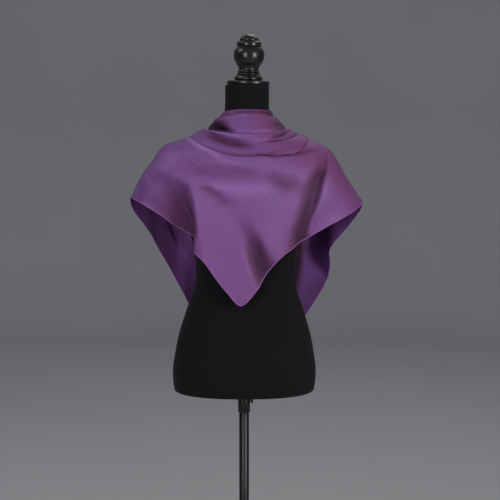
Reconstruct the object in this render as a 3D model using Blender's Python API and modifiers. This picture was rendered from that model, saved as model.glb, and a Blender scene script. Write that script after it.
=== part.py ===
"""A silk square scarf, folded on its diagonal and draped over the shoulders of a dress form.

Metres, +Z up.  The form faces -Y, +X is the right side as seen from the front, and the origin is the
middle of the base's underside.  "Up" in the tables is the height above UNDERSIDE, a level close to the
torso's lower edge.  Radii and places in the tables are measured from the form's own axis, which leans a
little to the right.
"""
from collections import namedtuple

import bmesh
import bpy
import numpy as np

# Driving dimensions
UNDERSIDE = 0.800          # height above the floor that every "up" is counted from
FULL_HEIGHT_UP = 0.724     # from that level to the top of the neck
LEAN = 0.0075              # how far the neck's top stands to the right of the hips
GAP = 0.0003               # left between two pieces that meet
SEAM_GAP = 0.0004          # left between two stretches of the cloth
CLOTH = 0.0016             # wall of the scarf's solids
LIP_FADE = 0.032           # how soon the cloth below a neck fold comes back to the rib
OPEN_STAND = 0.0040        # a neck fold that stands out less than this opens out
OPEN_STATIONS = 1.5        # and all of them open out over this many stations before the ends
FLAT_FOLD = 0.012          # cloth that a neck fold takes where it has opened out flat
FLAT_SHARE = 0.75          # and at most this share of the way to the next fold
CLEARANCE = 0.0012         # from the torso to the middle of the scarf's wall, where the cloth rests

# The scarf's sampling: columns between two stations, rows between two rings below the neck folds
COLUMNS_BETWEEN = 2
ROWS_BELOW = 5
RIB_SAMPLES = 240          # points of the dense line that each rib is measured along

# How the cloth is eased off the torso: rounds, the most it moves in one, and the probe for the slope
EASE_ROUNDS, EASE_MOST, EASE_PROBE = 6, 0.0100, 0.0005

# Torso sections.  Width is half the section's width, front and back are its depths from the axis, and
# squareness is the exponent of its superellipse.
Section = namedtuple("Section", "up width front back squareness")
TORSO = [
    Section(0.0100, 0.1520, 0.1020, 0.0960, 2.2),
    Section(0.0125, 0.1590, 0.1065, 0.1010, 2.2),
    Section(0.0200, 0.1640, 0.1100, 0.1055, 2.2),
    Section(0.0600, 0.1670, 0.1130, 0.1120, 2.2),
    Section(0.1000, 0.1620, 0.1100, 0.1120, 2.2),
    Section(0.1400, 0.1545, 0.1040, 0.1060, 2.2),
    Section(0.1800, 0.1430, 0.0975, 0.0975, 2.2),
    Section(0.2200, 0.1300, 0.0910, 0.0880, 2.2),
    Section(0.2560, 0.1180, 0.0865, 0.0810, 2.2),
    Section(0.2900, 0.1148, 0.0850, 0.0770, 2.2),
    Section(0.3400, 0.1190, 0.0890, 0.0780, 2.3),
    Section(0.4000, 0.1330, 0.1020, 0.0850, 2.4),
    Section(0.4500, 0.1450, 0.1110, 0.0920, 2.3),
    Section(0.4900, 0.1540, 0.1100, 0.0960, 2.2),
    Section(0.5300, 0.1660, 0.0990, 0.0960, 2.1),
    Section(0.5600, 0.1765, 0.0880, 0.0900, 2.0),
    Section(0.5720, 0.1780, 0.0830, 0.0850, 2.0),
    Section(0.5800, 0.1720, 0.0790, 0.0810, 2.0),
    Section(0.5880, 0.1560, 0.0750, 0.0770, 2.0),
    Section(0.5960, 0.1330, 0.0710, 0.0730, 2.0),
    Section(0.6030, 0.1100, 0.0680, 0.0700, 2.0),
    Section(0.6110, 0.0900, 0.0640, 0.0660, 2.0),
    Section(0.6220, 0.0740, 0.0595, 0.0615, 2.0),
    Section(0.6400, 0.0590, 0.0550, 0.0565, 2.0),
    Section(0.6600, 0.0515, 0.0515, 0.0515, 2.0),
    Section(0.7160, 0.0502, 0.0502, 0.0502, 2.0),
    Section(0.7205, 0.0485, 0.0485, 0.0485, 2.0),
]
TORSO_SIDES = 32

# The scarf's rings, from the folded edge at the neck out to the chest.  Each is an oval round the form's
# axis: how far it stands out at the front, left, right and back, how high it is there, how much cloth is
# tucked up behind it there, and how far its fold stands out from the cloth behind it.
Ring = namedtuple("Ring", "name front left right back "
                          "up_front up_left up_right up_back "
                          "tuck_front tuck_left tuck_right tuck_back "
                          "stand_front stand_left stand_right stand_back")
RINGS = [
    Ring("folded edge", 0.0545, 0.0540, 0.0540, 0.0580, 0.6650, 0.6600, 0.6630, 0.6480,
         0, 0, 0, 0, 0, 0, 0, 0),
    Ring("collar fold", 0.0615, 0.0680, 0.0650, 0.0700, 0.6520, 0.6460, 0.6480, 0.6330,
         0.010, 0.005, 0.006, 0.001, 0.0045, 0.0040, 0.0040, 0),
    Ring("throat fold", 0.0870, 0.0960, 0.0940, 0.0840, 0.6090, 0.6200, 0.6220, 0.6130,
         0.018, 0.014, 0.008, 0.002, 0.0080, 0.0100, 0.0060, 0),
    Ring("right fold", 0.0965, 0.1165, 0.1210, 0.0920, 0.5840, 0.6090, 0.6080, 0.6020,
         0.001, 0.001, 0.014, 0.002, 0, 0, 0.0080, 0),
    Ring("breast fold", 0.1060, 0.1350, 0.1470, 0.1000, 0.5610, 0.6000, 0.5960, 0.5860,
         0.010, 0.012, 0.001, 0.002, 0.0045, 0.0080, 0, 0),
    Ring("yoke", 0.1140, 0.1885, 0.1840, 0.1120, 0.5280, 0.5835, 0.5780, 0.5550,
         0, 0, 0, 0, 0, 0, 0, 0),
    Ring("chest", 0.1180, 0.2410, 0.2330, 0.1180, 0.4850, 0.5140, 0.5070, 0.4700,
         0, 0, 0, 0, 0, 0, 0, 0),
]
RING_SQUARENESS = [2.0, 2.0, 2.0, 2.0, 2.1, 2.2, 2.3]
FOLDS = [1, 2, 3, 4]       # the rings that are rolled neck folds

# One rolled fold, row by row: how far down the cloth the row lies where the fold is full (as a share of
# its tuck) and where it has opened out (as a share of FLAT_FOLD), and how far it stands out (as a share
# of the fold's stand).
FoldRow = namedtuple("FoldRow", "name tucked flat out")
FOLD_ROWS = [
    FoldRow("turning in", -0.45, -0.80, -0.12),
    FoldRow("going in", 0.22, -0.55, -0.95),
    FoldRow("bottom", 1.00, -0.25, -0.62),
    FoldRow("behind the lip", 0.20, 0.05, -0.12),
    FoldRow("lip", 0.00, 0.28, 0.18),
    FoldRow("over the lip", 0.28, 0.50, 0.34),
]

# Places where a fold's lip wanders from its ring, or stands out more: how far down, and by what share
Nudge = namedtuple("Nudge", "fold station half_width down stand")
NUDGES = [
    Nudge(4, 4.8, 2.2, 0.0175, 0.0),
    Nudge(4, -1.0, 3.0, 0.0035, 0.1),
    Nudge(2, -4.2, 2.0, 0.0010, 1.4),
    Nudge(2, 5.6, 1.2, 0.0020, 0.2),
    Nudge(1, -0.8, 0.9, -0.0015, 0.1),
    Nudge(1, 4.2, 1.0, 0.0020, -0.2),
]

# Stations of the cloth, from the front point round each side to the back.  The turn at the neck and at
# the chest says where a station crosses the rings, 0 at the front and 90 at the side, and x, y and up
# say where it ends on the hem.
Station = namedtuple("Station", "name neck_turn chest_turn x y up")
TIP = Station("front point", 0, 0, -0.0080, -0.1180, 0.2260)
LEFT = [
    Station("beside the point", 10, 9, -0.0400, -0.1210, 0.2560),
    Station("under the breast", 22, 17, -0.0650, -0.1220, 0.2870),
    Station("ribs", 33, 25, -0.0900, -0.1180, 0.3220),
    Station("side of the ribs", 44, 34, -0.1170, -0.1040, 0.3490),
    Station("armpit", 55, 44, -0.1410, -0.0720, 0.3800),
    Station("upper arm front", 66, 55, -0.1880, -0.0680, 0.4200),
    Station("before the side point", 78, 68, -0.2290, -0.0550, 0.4470),
    Station("near the side point", 88, 80, -0.2520, -0.0330, 0.4580),
    Station("side point", 98, 91, -0.2670, -0.0020, 0.4620),
    Station("behind the side point", 109, 103, -0.2620, 0.0280, 0.4320),
    Station("upper arm back", 121, 117, -0.2260, 0.0640, 0.3760),
]
RIGHT = [
    Station("beside the point", 9, 7, 0.0290, -0.1190, 0.2640),
    Station("flute", 20, 14, 0.0580, -0.1120, 0.3090),
    Station("ribs", 31, 22, 0.0840, -0.1080, 0.3370),
    Station("side of the ribs", 42, 31, 0.1150, -0.1060, 0.3590),
    Station("armpit", 54, 42, 0.1520, -0.0820, 0.3830),
    Station("upper arm front", 66, 54, 0.1880, -0.0710, 0.4030),
    Station("before the side point", 78, 67, 0.2300, -0.0500, 0.4240),
    Station("near the side point", 88, 80, 0.2590, -0.0220, 0.4420),
    Station("side point", 98, 91, 0.2700, 0.0020, 0.4520),
    Station("behind the side point", 108, 102, 0.2640, 0.0260, 0.4280),
    Station("upper arm back", 120, 115, 0.2340, 0.0520, 0.3840),
]

# Sections across each hanging end, from the shoulder blade to its tip: the folded edge near the middle of
# the back, two places between, and the hem outside.
EndSection = namedtuple("EndSection", "edge_x edge_y edge_up blade_x blade_y blade_up "
                                      "side_x side_y side_up hem_x hem_y hem_up")
LEFT_END = [
    EndSection(-0.054, 0.064, 0.628, -0.146, 0.087, 0.541, -0.193, 0.084, 0.462, -0.212, 0.080, 0.346),
    EndSection(-0.058, 0.095, 0.575, -0.126, 0.107, 0.497, -0.166, 0.104, 0.412, -0.184, 0.101, 0.294),
    EndSection(-0.060, 0.114, 0.505, -0.110, 0.119, 0.432, -0.143, 0.119, 0.352, -0.161, 0.115, 0.245),
    EndSection(-0.062, 0.125, 0.405, -0.097, 0.129, 0.345, -0.122, 0.130, 0.279, -0.138, 0.126, 0.200),
    EndSection(-0.065, 0.132, 0.285, -0.083, 0.135, 0.246, -0.096, 0.136, 0.203, -0.107, 0.133, 0.149),
    EndSection(-0.074, 0.135, 0.116, -0.075, 0.135, 0.110, -0.076, 0.135, 0.104, -0.077, 0.135, 0.098),
]
RIGHT_END = [
    EndSection(0.054, 0.064, 0.628, 0.146, 0.087, 0.541, 0.186, 0.085, 0.462, 0.205, 0.070, 0.345),
    EndSection(0.057, 0.094, 0.578, 0.132, 0.109, 0.502, 0.176, 0.113, 0.425, 0.205, 0.094, 0.312),
    EndSection(0.060, 0.113, 0.512, 0.124, 0.123, 0.448, 0.171, 0.128, 0.378, 0.198, 0.114, 0.280),
    EndSection(0.062, 0.124, 0.422, 0.116, 0.132, 0.368, 0.158, 0.136, 0.306, 0.188, 0.128, 0.240),
    EndSection(0.066, 0.132, 0.310, 0.100, 0.137, 0.268, 0.126, 0.139, 0.220, 0.144, 0.136, 0.166),
    EndSection(0.084, 0.136, 0.104, 0.085, 0.136, 0.097, 0.086, 0.136, 0.091, 0.087, 0.136, 0.085),
]
END_FOLD_SHARES = [0.10, 0.30, 0.47, 0.66]   # where the neck folds lie between an end's edge and blade
END_BULGE = (0.0, 0.005, 0.008)              # how far an end arches over the top of the shoulder blade

# The hanging cloth overlaps itself in three steps: it falls back towards the right, then comes forward
# again over a short rise.  Each step runs along a line of (station, ring) places down to the hem.  Stations
# are counted from the front point, and left is negative.  Start is how soon it grows, fall and rise are
# in stations, depth and crest in metres, and the hem's share is the part of the depth left at the hem.
Step = namedtuple("Step", "name line start fall rise_top rise_hem depth hem_share crest")
STEPS = [
    Step("left arm", [(-3.7, 5.3), (-3.2, 5.85), (-2.75, 6.15), (-2.7, 6.35), (-3.0, 6.58), (-3.6, 6.85),
                      (-3.8, 7.0)], 1.6, 2.3, 2.0, 1.2, 0.0340, 0.6, 0.0030),
    Step("flute right of the point", [(0.1, 6.12), (0.5, 6.31), (1.0, 6.47), (2.4, 6.92), (2.7, 7.0)],
         1.6, 0.9, 1.1, 1.8, 0.0150, 0.8, 0.0040),
    Step("right arm", [(7.4, 5.05), (6.2, 5.55), (5.4, 6.0), (4.9, 6.45), (4.8, 6.9), (4.9, 7.0)],
         1.6, 1.3, 1.5, 1.2, 0.0110, 0.5, 0.0020),
]
CREST_WIDTH = 0.9          # stations over which the cloth in front of a step settles back

# Soft troughs and ridges: the station they run down, the ring they start at, how far they swing to
# another station at the hem, their half width in stations, and their depth, in (-) or out (+)
Crease = namedtuple("Crease", "name station start swing half_width depth")
CREASES = [
    Crease("trough before the right arm", 3.5, 5.7, 0.6, 0.70, -0.0060),
    Crease("left end pleat", -14.5, 4.5, 0.0, 0.85, -0.0090),
    Crease("right end pleat", 12.8, 4.5, 0.0, 0.75, -0.0050),
    Crease("right end lobe", 14.2, 4.5, 0.0, 0.85, 0.0060),
]
CREASE_TOP_WIDTH = 0.35    # share of its width that a crease has where it starts
CREASE_DEEPENING = 0.8     # power by which it deepens towards the hem

# Long pleats that the neck folds become down each hanging end
END_PLEATS = 1.5           # waves across an end
END_PLEAT_DEPTH = 0.0090
END_PLEAT_START, END_PLEAT_STOP = 2.0, 3.5   # stations over which they deepen, and die out at the tip

# Turned and round pieces
NECK_TOP = 0.7205
CAP_RADIUS, CAP_THICKNESS, CAP_EDGE = 0.0490, 0.0078, 0.0022
CAP_SHIFT = 0.0025         # the cap sits a little to the right of the neck's axis
CAP_TILT = np.radians(1.3)
FINIAL_PROFILE = [         # radius, height above the cap, from the top down
    (0.0000, 0.1070), (0.0085, 0.1055), (0.0155, 0.1020), (0.0203, 0.0975), (0.0222, 0.0945),
    (0.0218, 0.0915), (0.0262, 0.0885), (0.0282, 0.0860), (0.0282, 0.0800), (0.0268, 0.0775),
    (0.0308, 0.0735), (0.0340, 0.0675), (0.0354, 0.0590), (0.0342, 0.0500), (0.0300, 0.0410),
    (0.0250, 0.0335), (0.0227, 0.0275), (0.0228, 0.0240), (0.0252, 0.0212), (0.0240, 0.0185),
    (0.0264, 0.0160), (0.0258, 0.0135), (0.0300, 0.0110), (0.0324, 0.0060), (0.0318, 0.0020),
    (0.0300, 0.0000), (0.0000, 0.0000),
]
POLE_RADIUS = 0.0114
COLLAR_RADIUS, COLLAR_HEIGHT, COLLAR_EDGE = 0.0142, 0.0500, 0.0012
KNOB_RADIUS, KNOB_THICKNESS, KNOB_SHANK_RADIUS, KNOB_REACH = 0.0086, 0.0052, 0.0030, 0.0012
KNOB_STEPS = 16
KNOB_DROP = 0.0210         # from the torso's underside to the knob's axis
BASE_RADIUS, BASE_EDGE, BASE_RISE = 0.1900, 0.0120, 0.0200
HUB_RADIUS, HUB_HEIGHT, SOCKET_FLOOR = 0.0300, 0.0600, 0.0150
ROUND_STEPS = 24

TORSO_UNDERSIDE = UNDERSIDE + TORSO[0].up


def curve_through(knots, values, at):
    """A smooth curve that passes through the values at their knots."""
    knots, values, at = np.asarray(knots, float), np.asarray(values, float), np.asarray(at, float)
    slopes = np.gradient(values, knots, axis=0)
    left = np.clip(np.searchsorted(knots, at, side="right") - 1, 0, len(knots) - 2)
    width = knots[left + 1] - knots[left]
    share = (at - knots[left]) / width
    shape = share.shape + (1,) * (values.ndim - 1)
    t, h = share.reshape(shape), width.reshape(shape)
    return ((2 * t**3 - 3 * t**2 + 1) * values[left] + (t**3 - 2 * t**2 + t) * h * slopes[left]
            + (3 * t**2 - 2 * t**3) * values[left + 1] + (t**3 - t**2) * h * slopes[left + 1])


def oval(ring, squareness, turns):
    """Points of a ring at some turns: negative turns go round the left side."""
    side = np.where(turns < 0, ring.left, ring.right)
    up_side = np.where(turns < 0, ring.up_left, ring.up_right)
    angle = np.radians(np.abs(turns))
    sine, cosine = np.sin(angle), np.cos(angle)
    front = cosine > 0
    depth = np.where(front, -ring.front, ring.back)
    up_end = np.where(front, ring.up_front, ring.up_back)
    power = 2 / squareness
    return np.stack([np.sign(turns) * side * sine**power, depth * np.abs(cosine) ** power,
                     up_side * sine**2 + up_end * cosine**2], axis=-1)


def around_ring(turn, front, left, right, back):
    """A measure that changes softly round a ring, at one turn."""
    side, end = (left if turn < 0 else right), (front if abs(turn) < 90 else back)
    sine = np.sin(np.radians(turn))
    return side * sine**2 + end * (1 - sine**2)


def station_ribs():
    """Each station's points on the rings and its hem point, and its folds' tucks and stands."""
    front = [(-1, s) for s in reversed(LEFT)] + [(1, TIP)] + [(1, s) for s in RIGHT]
    places, ribs, tucks, stands = [], [], [], []
    for index, (sign, station) in enumerate(front):
        turns = sign * np.linspace(station.neck_turn, station.chest_turn, len(RINGS))
        rib = [oval(ring, square, turn) for ring, square, turn in zip(RINGS, RING_SQUARENESS, turns)]
        places.append(index - len(LEFT))
        ribs.append(rib + [np.array([station.x, station.y, station.up])])
        tucks.append([around_ring(turns[fold], *RINGS[fold][9:13]) for fold in FOLDS])
        stands.append([around_ring(turns[fold], *RINGS[fold][13:17]) for fold in FOLDS])
    for sign, sections in ((-1, LEFT_END), (1, RIGHT_END)):
        for index, row in enumerate(sections):
            edge, blade = np.array(row[0:3]), np.array(row[3:6])
            fade = 1 - (index + 1) / len(sections)
            arch = 4 * fade**2 * np.array(END_BULGE)
            between = [edge + (blade - edge) * share + arch * share * (1 - share)
                       for share in END_FOLD_SHARES]
            places.append(sign * (len(LEFT) + 1 + index))
            ribs.append([edge] + between + [blade, np.array(row[6:9]), np.array(row[9:12])])
            tucks.append([RINGS[fold].tuck_back * fade for fold in FOLDS])
            stands.append([0.0] * len(FOLDS))
    order = np.argsort(places)
    return tuple(np.array(values)[order] for values in (places, ribs, tucks, stands))


def torso_level(points):
    """1 on the torso's surface, less inside it and more outside."""
    rows = np.array(TORSO)
    width, front, back, square = (np.interp(points[..., 2], rows[:, 0], rows[:, i]) for i in (1, 2, 3, 4))
    depth = np.where(points[..., 1] < 0, front, back)
    sides = np.abs(points[..., 0] / width) ** square + np.abs(points[..., 1] / depth) ** square
    return sides ** (1 / square)


def clear_of_torso(points, clearance):
    """Move points that are too near the torso straight out of it."""
    step = EASE_PROBE
    points = points.copy()
    for _ in range(EASE_ROUNDS):
        level = torso_level(points)
        slope = np.stack([(torso_level(points + step * axis) - torso_level(points - step * axis)) / (2 * step)
                          for axis in np.eye(3)], axis=-1)
        size = np.maximum(np.linalg.norm(slope, axis=-1), 1e-6)
        short = np.clip(clearance - (level - 1) / size, 0, EASE_MOST)
        short = np.where(points[..., 2] < TORSO[-1].up, short, 0)
        points += slope / size[..., None] * short[..., None]
    return points


def unit(vectors):
    return vectors / np.maximum(np.linalg.norm(vectors, axis=-1, keepdims=True), 1e-9)


def directions(grid, axis):
    """The way the grid runs at each point: halfway between the lines before and after it."""
    lines = np.moveaxis(unit(np.diff(grid, axis=axis)), axis, 0)
    both = np.concatenate([lines[:1], lines[:-1] + lines[1:], lines[-1:]])
    return np.moveaxis(unit(both), 0, axis)


def normals_of(grid):
    """Unit normals of a grid of points, pointing away from the form."""
    return unit(np.cross(directions(grid, 0), directions(grid, 1)))


def crease_depth(places, ring_at):
    """How far the creases move the cloth, at each row and column."""
    depth = np.zeros_like(ring_at)
    last = len(RINGS)
    for crease in CREASES:
        run = np.clip((ring_at - crease.start) / (last - crease.start), 0, 1)
        centre = crease.station + crease.swing * run
        half = crease.half_width * (CREASE_TOP_WIDTH + (1 - CREASE_TOP_WIDTH) * run)
        depth += crease.depth * run**CREASE_DEEPENING * np.exp(-(((places[None, :] - centre) / half) ** 2))
    return depth


def smooth(share):
    share = np.clip(share, 0, 1)
    return share * share * (3 - 2 * share)


def step_depth(places, ring_at):
    """How far the hanging steps move the cloth."""
    depth = np.zeros_like(ring_at)
    for step in STEPS:
        stations, rings = np.array(step.line).T
        run = np.clip((ring_at - rings[0]) / (rings[-1] - rings[0]), 0, 1)
        line = curve_through(rings, stations, np.clip(ring_at, rings[0], rings[-1]))
        rise = step.rise_top + (step.rise_hem - step.rise_top) * run
        beside = places[None, :] - line
        falling = smooth((beside + rise + step.fall) / step.fall)
        rising = 1 - smooth((beside + rise) / rise)
        crest = np.where(beside < 0, smooth((beside + rise) / rise),
                         np.exp(-((beside / CREST_WIDTH) ** 2)))
        fall_in = step.depth * (1 - (1 - step.hem_share) * smooth(run * 2 - 1))
        depth += smooth(run * step.start) * (step.crest * crest - fall_in * falling * rising)
    return depth


def lip_left(below):
    """The share of a lip's stand that is left some way below it."""
    return np.exp(-((below / LIP_FADE) ** 2))


def fold_rows(places, ring_length, tucks, stands):
    """Rows of the neck folds: how far down each rib they lie, and how far they stand out."""
    down, out = [ring_length[0]], [np.zeros(len(places))]
    for number, fold in enumerate(FOLDS):
        stand = stands[:, number]
        amount = (tucks[:, number] * smooth(stand / OPEN_STAND)
                  * smooth((len(LEFT) - 1 - np.abs(places)) / OPEN_STATIONS))
        full = max(RINGS[fold].tuck_front, RINGS[fold].tuck_left, RINGS[fold].tuck_right)
        share = np.clip(amount / full, 0, 1)
        room = np.minimum(ring_length[fold] - ring_length[fold - 1],
                          ring_length[fold + 1] - ring_length[fold])
        flat = np.minimum(FLAT_FOLD, room * FLAT_SHARE) * (1 - share)
        middle = ring_length[fold].copy()
        for nudge in NUDGES:
            if nudge.fold == fold:
                near = np.exp(-(((places - nudge.station) / nudge.half_width) ** 2))
                middle += nudge.down * near
                stand = stand * (1 + nudge.stand * near)
        above_down, above_out = down[-1], out[-1]
        for row in FOLD_ROWS:
            down.append(middle + row.tucked * np.minimum(amount, room) + row.flat * flat)
            out.append(row.out * stand + above_out * lip_left(down[-1] - above_down))
    # one more row on each face between two folds
    for first in reversed([1 + len(FOLD_ROWS) * number for number in range(len(FOLDS))]):
        halfway = (down[first - 1] + down[first]) / 2
        out.insert(first, out[first - 1] * lip_left(halfway - down[first - 1]))
        down.insert(first, halfway)
    return down, out


def scarf_surface(columns_between, rows_below):
    """Points of the whole scarf: a row for each line round the neck, a column for each station line."""
    places, ribs, tucks, stands = station_ribs()
    columns = np.linspace(places[0], places[-1], (len(places) - 1) * columns_between + 1)
    ribs = curve_through(places, ribs, columns)
    tucks, stands = (np.maximum(curve_through(places, values, columns), 0) for values in (tucks, stands))

    # a dense curve down each rib, and where each ring lies along it
    base, length_at, ring_length = [], [], []
    for rib in ribs:
        chord = np.concatenate([[0], np.cumsum(np.linalg.norm(np.diff(rib, axis=0), axis=1))])
        line = curve_through(chord, rib, np.linspace(0, chord[-1], RIB_SAMPLES))
        length = np.concatenate([[0], np.cumsum(np.linalg.norm(np.diff(line, axis=0), axis=1))])
        base.append(line)
        length_at.append(length)
        ring_length.append(np.interp(chord / chord[-1] * (RIB_SAMPLES - 1), np.arange(RIB_SAMPLES), length))
    base = np.stack(base, axis=1)
    base_normal = normals_of(base)
    length_at, ring_length = np.stack(length_at, axis=1), np.array(ring_length).T

    down, out = fold_rows(columns, ring_length, tucks, stands)
    # then even rows down to the hem
    last_fold, lip = down[-1], out[-1]
    for ring in range(FOLDS[-1] + 1, len(RINGS) + 1):
        start = last_fold if ring == FOLDS[-1] + 1 else ring_length[ring - 1]
        for step in range(1, rows_below + 1):
            share = step / rows_below
            down.append(start + (ring_length[ring] - start) * share)
            out.append(lip * lip_left(down[-1] - last_fold))
    down, out = np.array(down), np.array(out)

    # end pleats and creases are worked out on the rings' own count
    ring_at = np.stack([np.interp(down[:, i], ring_length[:, i], np.arange(len(RINGS) + 1))
                        for i in range(len(columns))], axis=1)
    out = out + crease_depth(columns, ring_at) + step_depth(columns, ring_at)
    to_end = (np.clip((np.abs(columns) - len(LEFT)) / END_PLEAT_START, 0, 1)
              * np.clip((places[-1] - np.abs(columns)) / END_PLEAT_STOP, 0, 1) ** 1.5)
    across = ring_at / len(RINGS)
    out = out + END_PLEAT_DEPTH * to_end[None, :] * np.sin(2 * np.pi * END_PLEATS * across)

    grid = np.empty(down.shape + (3,))
    for i in range(len(columns)):
        for axis in range(3):
            where = np.interp(down[:, i], length_at[:, i], np.arange(RIB_SAMPLES))
            point = np.interp(where, np.arange(RIB_SAMPLES), base[:, i, axis])
            normal = np.interp(where, np.arange(RIB_SAMPLES), base_normal[:, i, axis])
            grid[:, i, axis] = point + out[:, i] * normal
    return columns, clear_of_torso(grid, CLEARANCE)


def in_place(points):
    """From the form's own measures to the object's: up from the floor, and leaning."""
    placed = np.array(points, float)
    placed[..., 0] += LEAN * placed[..., 2] / FULL_HEIGHT_UP
    placed[..., 2] += UNDERSIDE
    return placed


def material(name, colour, roughness, metallic=0.0, sheen=0.0):
    made = bpy.data.materials.new(name)
    made.use_nodes = True
    shader = made.node_tree.nodes["Principled BSDF"]
    shader.inputs["Base Color"].default_value = (*colour, 1)
    shader.inputs["Roughness"].default_value = roughness
    shader.inputs["Metallic"].default_value = metallic
    shader.inputs["Sheen Weight"].default_value = sheen
    return made


def add_object(name, mesh, collection, finish, smooth_angle=np.radians(40)):
    made = bpy.data.objects.new(name, mesh)
    collection.objects.link(made)
    mesh.materials.append(finish)
    mesh.shade_smooth()
    mesh.set_sharp_from_angle(angle=smooth_angle)
    return made


def wall(name, grid, normals, collection, finish):
    """A closed wall of cloth: an outer and an inner skin over the grid, joined round the edge."""
    rows, columns = grid.shape[:2]
    shaped = bmesh.new()
    skins = [[[shaped.verts.new(grid[r, c] + side * CLOTH / 2 * normals[r, c]) for c in range(columns)]
              for r in range(rows)] for side in (1, -1)]
    for skin, flip in zip(skins, (False, True)):
        for r in range(rows - 1):
            for c in range(columns - 1):
                # both skins are split along the same diagonal, so a twisted patch keeps its thickness
                start, below, across, beside = (skin[r][c], skin[r + 1][c], skin[r + 1][c + 1],
                                                skin[r][c + 1])
                for face in ([start, below, across], [start, across, beside]):
                    shaped.faces.new(face[::-1] if flip else face)
    rim = ([(0, c) for c in range(columns)] + [(r, columns - 1) for r in range(1, rows)]
           + [(rows - 1, c) for c in range(columns - 2, -1, -1)] + [(r, 0) for r in range(rows - 2, 0, -1)])
    outer, inner = skins
    for (r, c), (next_r, next_c) in zip(rim, rim[1:] + rim[:1]):
        shaped.faces.new([outer[r][c], outer[next_r][next_c], inner[next_r][next_c], inner[r][c]])
    mesh = bpy.data.meshes.new(name)
    shaped.to_mesh(mesh)
    shaped.free()
    return add_object(name, mesh, collection, finish)


def drawn_in(grid, edges):
    """Draw a panel's edges in along the cloth, by half the gap between two panels."""
    grid = grid.copy()
    lines = {"top": ((0,), (1,)), "bottom": ((-1,), (-2,)),
             "start": ((slice(None), 0), (slice(None), 1)), "end": ((slice(None), -1), (slice(None), -2))}
    for edge in edges:
        here, inward = lines[edge]
        way = grid[inward] - grid[here]
        grid[here] += way / np.linalg.norm(way, axis=-1, keepdims=True) * SEAM_GAP / 2
    return grid


def make_scarf(collection, finish):
    columns, own = scarf_surface(COLUMNS_BETWEEN, ROWS_BELOW)
    grid = in_place(own)
    normals = normals_of(grid)
    side = len(LEFT) - 1.0                 # the stations where the two ends begin
    first, last = np.searchsorted(columns, [-side, side])
    neck_rows = 1 + len(FOLDS) * (len(FOLD_ROWS) + 1)
    panels = [
        ("scarf_neck_folds", slice(0, neck_rows), slice(first, last + 1), ("bottom", "start", "end")),
        ("scarf_front", slice(neck_rows - 1, None), slice(first, last + 1), ("top", "start", "end")),
        ("scarf_left_end", slice(None), slice(0, first + 1), ("end",)),
        ("scarf_right_end", slice(None), slice(last, None), ("start",)),
    ]
    for name, rows, cols, edges in panels:
        wall(name, drawn_in(grid[rows, cols], edges), normals[rows, cols], collection, finish)


def make_torso(collection, finish):
    """The padded torso: superellipse sections, joined up, with a flat underside and neck top."""
    shaped = bmesh.new()
    angles = np.linspace(0, 2 * np.pi, TORSO_SIDES, endpoint=False)
    loops = []
    for section in TORSO:
        power = 2 / section.squareness
        sine, cosine = np.sin(angles), np.cos(angles)
        depth = np.where(sine < 0, section.front, section.back)
        ring = np.stack([section.width * np.sign(cosine) * np.abs(cosine) ** power,
                         depth * np.sign(sine) * np.abs(sine) ** power,
                         np.full(TORSO_SIDES, section.up)], axis=-1)
        loops.append([shaped.verts.new(point) for point in in_place(ring)])
    for lower, upper in zip(loops, loops[1:]):
        for i in range(TORSO_SIDES):
            j = (i + 1) % TORSO_SIDES
            shaped.faces.new([lower[i], lower[j], upper[j], upper[i]])
    shaped.faces.new(loops[0][::-1])
    shaped.faces.new(loops[-1])
    mesh = bpy.data.meshes.new("form_torso")
    shaped.to_mesh(mesh)
    shaped.free()
    add_object("form_torso", mesh, collection, finish, np.radians(60))


def turned(name, profile, collection, finish, steps=ROUND_STEPS):
    """A turned piece from a profile of radius and height that runs down its outer side."""
    mesh = bpy.data.meshes.new(name)
    corners = [(radius, 0, height) for radius, height in profile]
    edges = [(i, i + 1) for i in range(len(corners) - 1)]
    mesh.from_pydata(corners, edges, [])
    made = bpy.data.objects.new(name, mesh)
    collection.objects.link(made)
    mesh.materials.append(finish)
    screw = made.modifiers.new("turn", "SCREW")
    screw.steps = screw.render_steps = steps
    screw.use_merge_vertices = True
    screw.merge_threshold = 0.00001
    screw.use_smooth_shade = True
    return made


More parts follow.
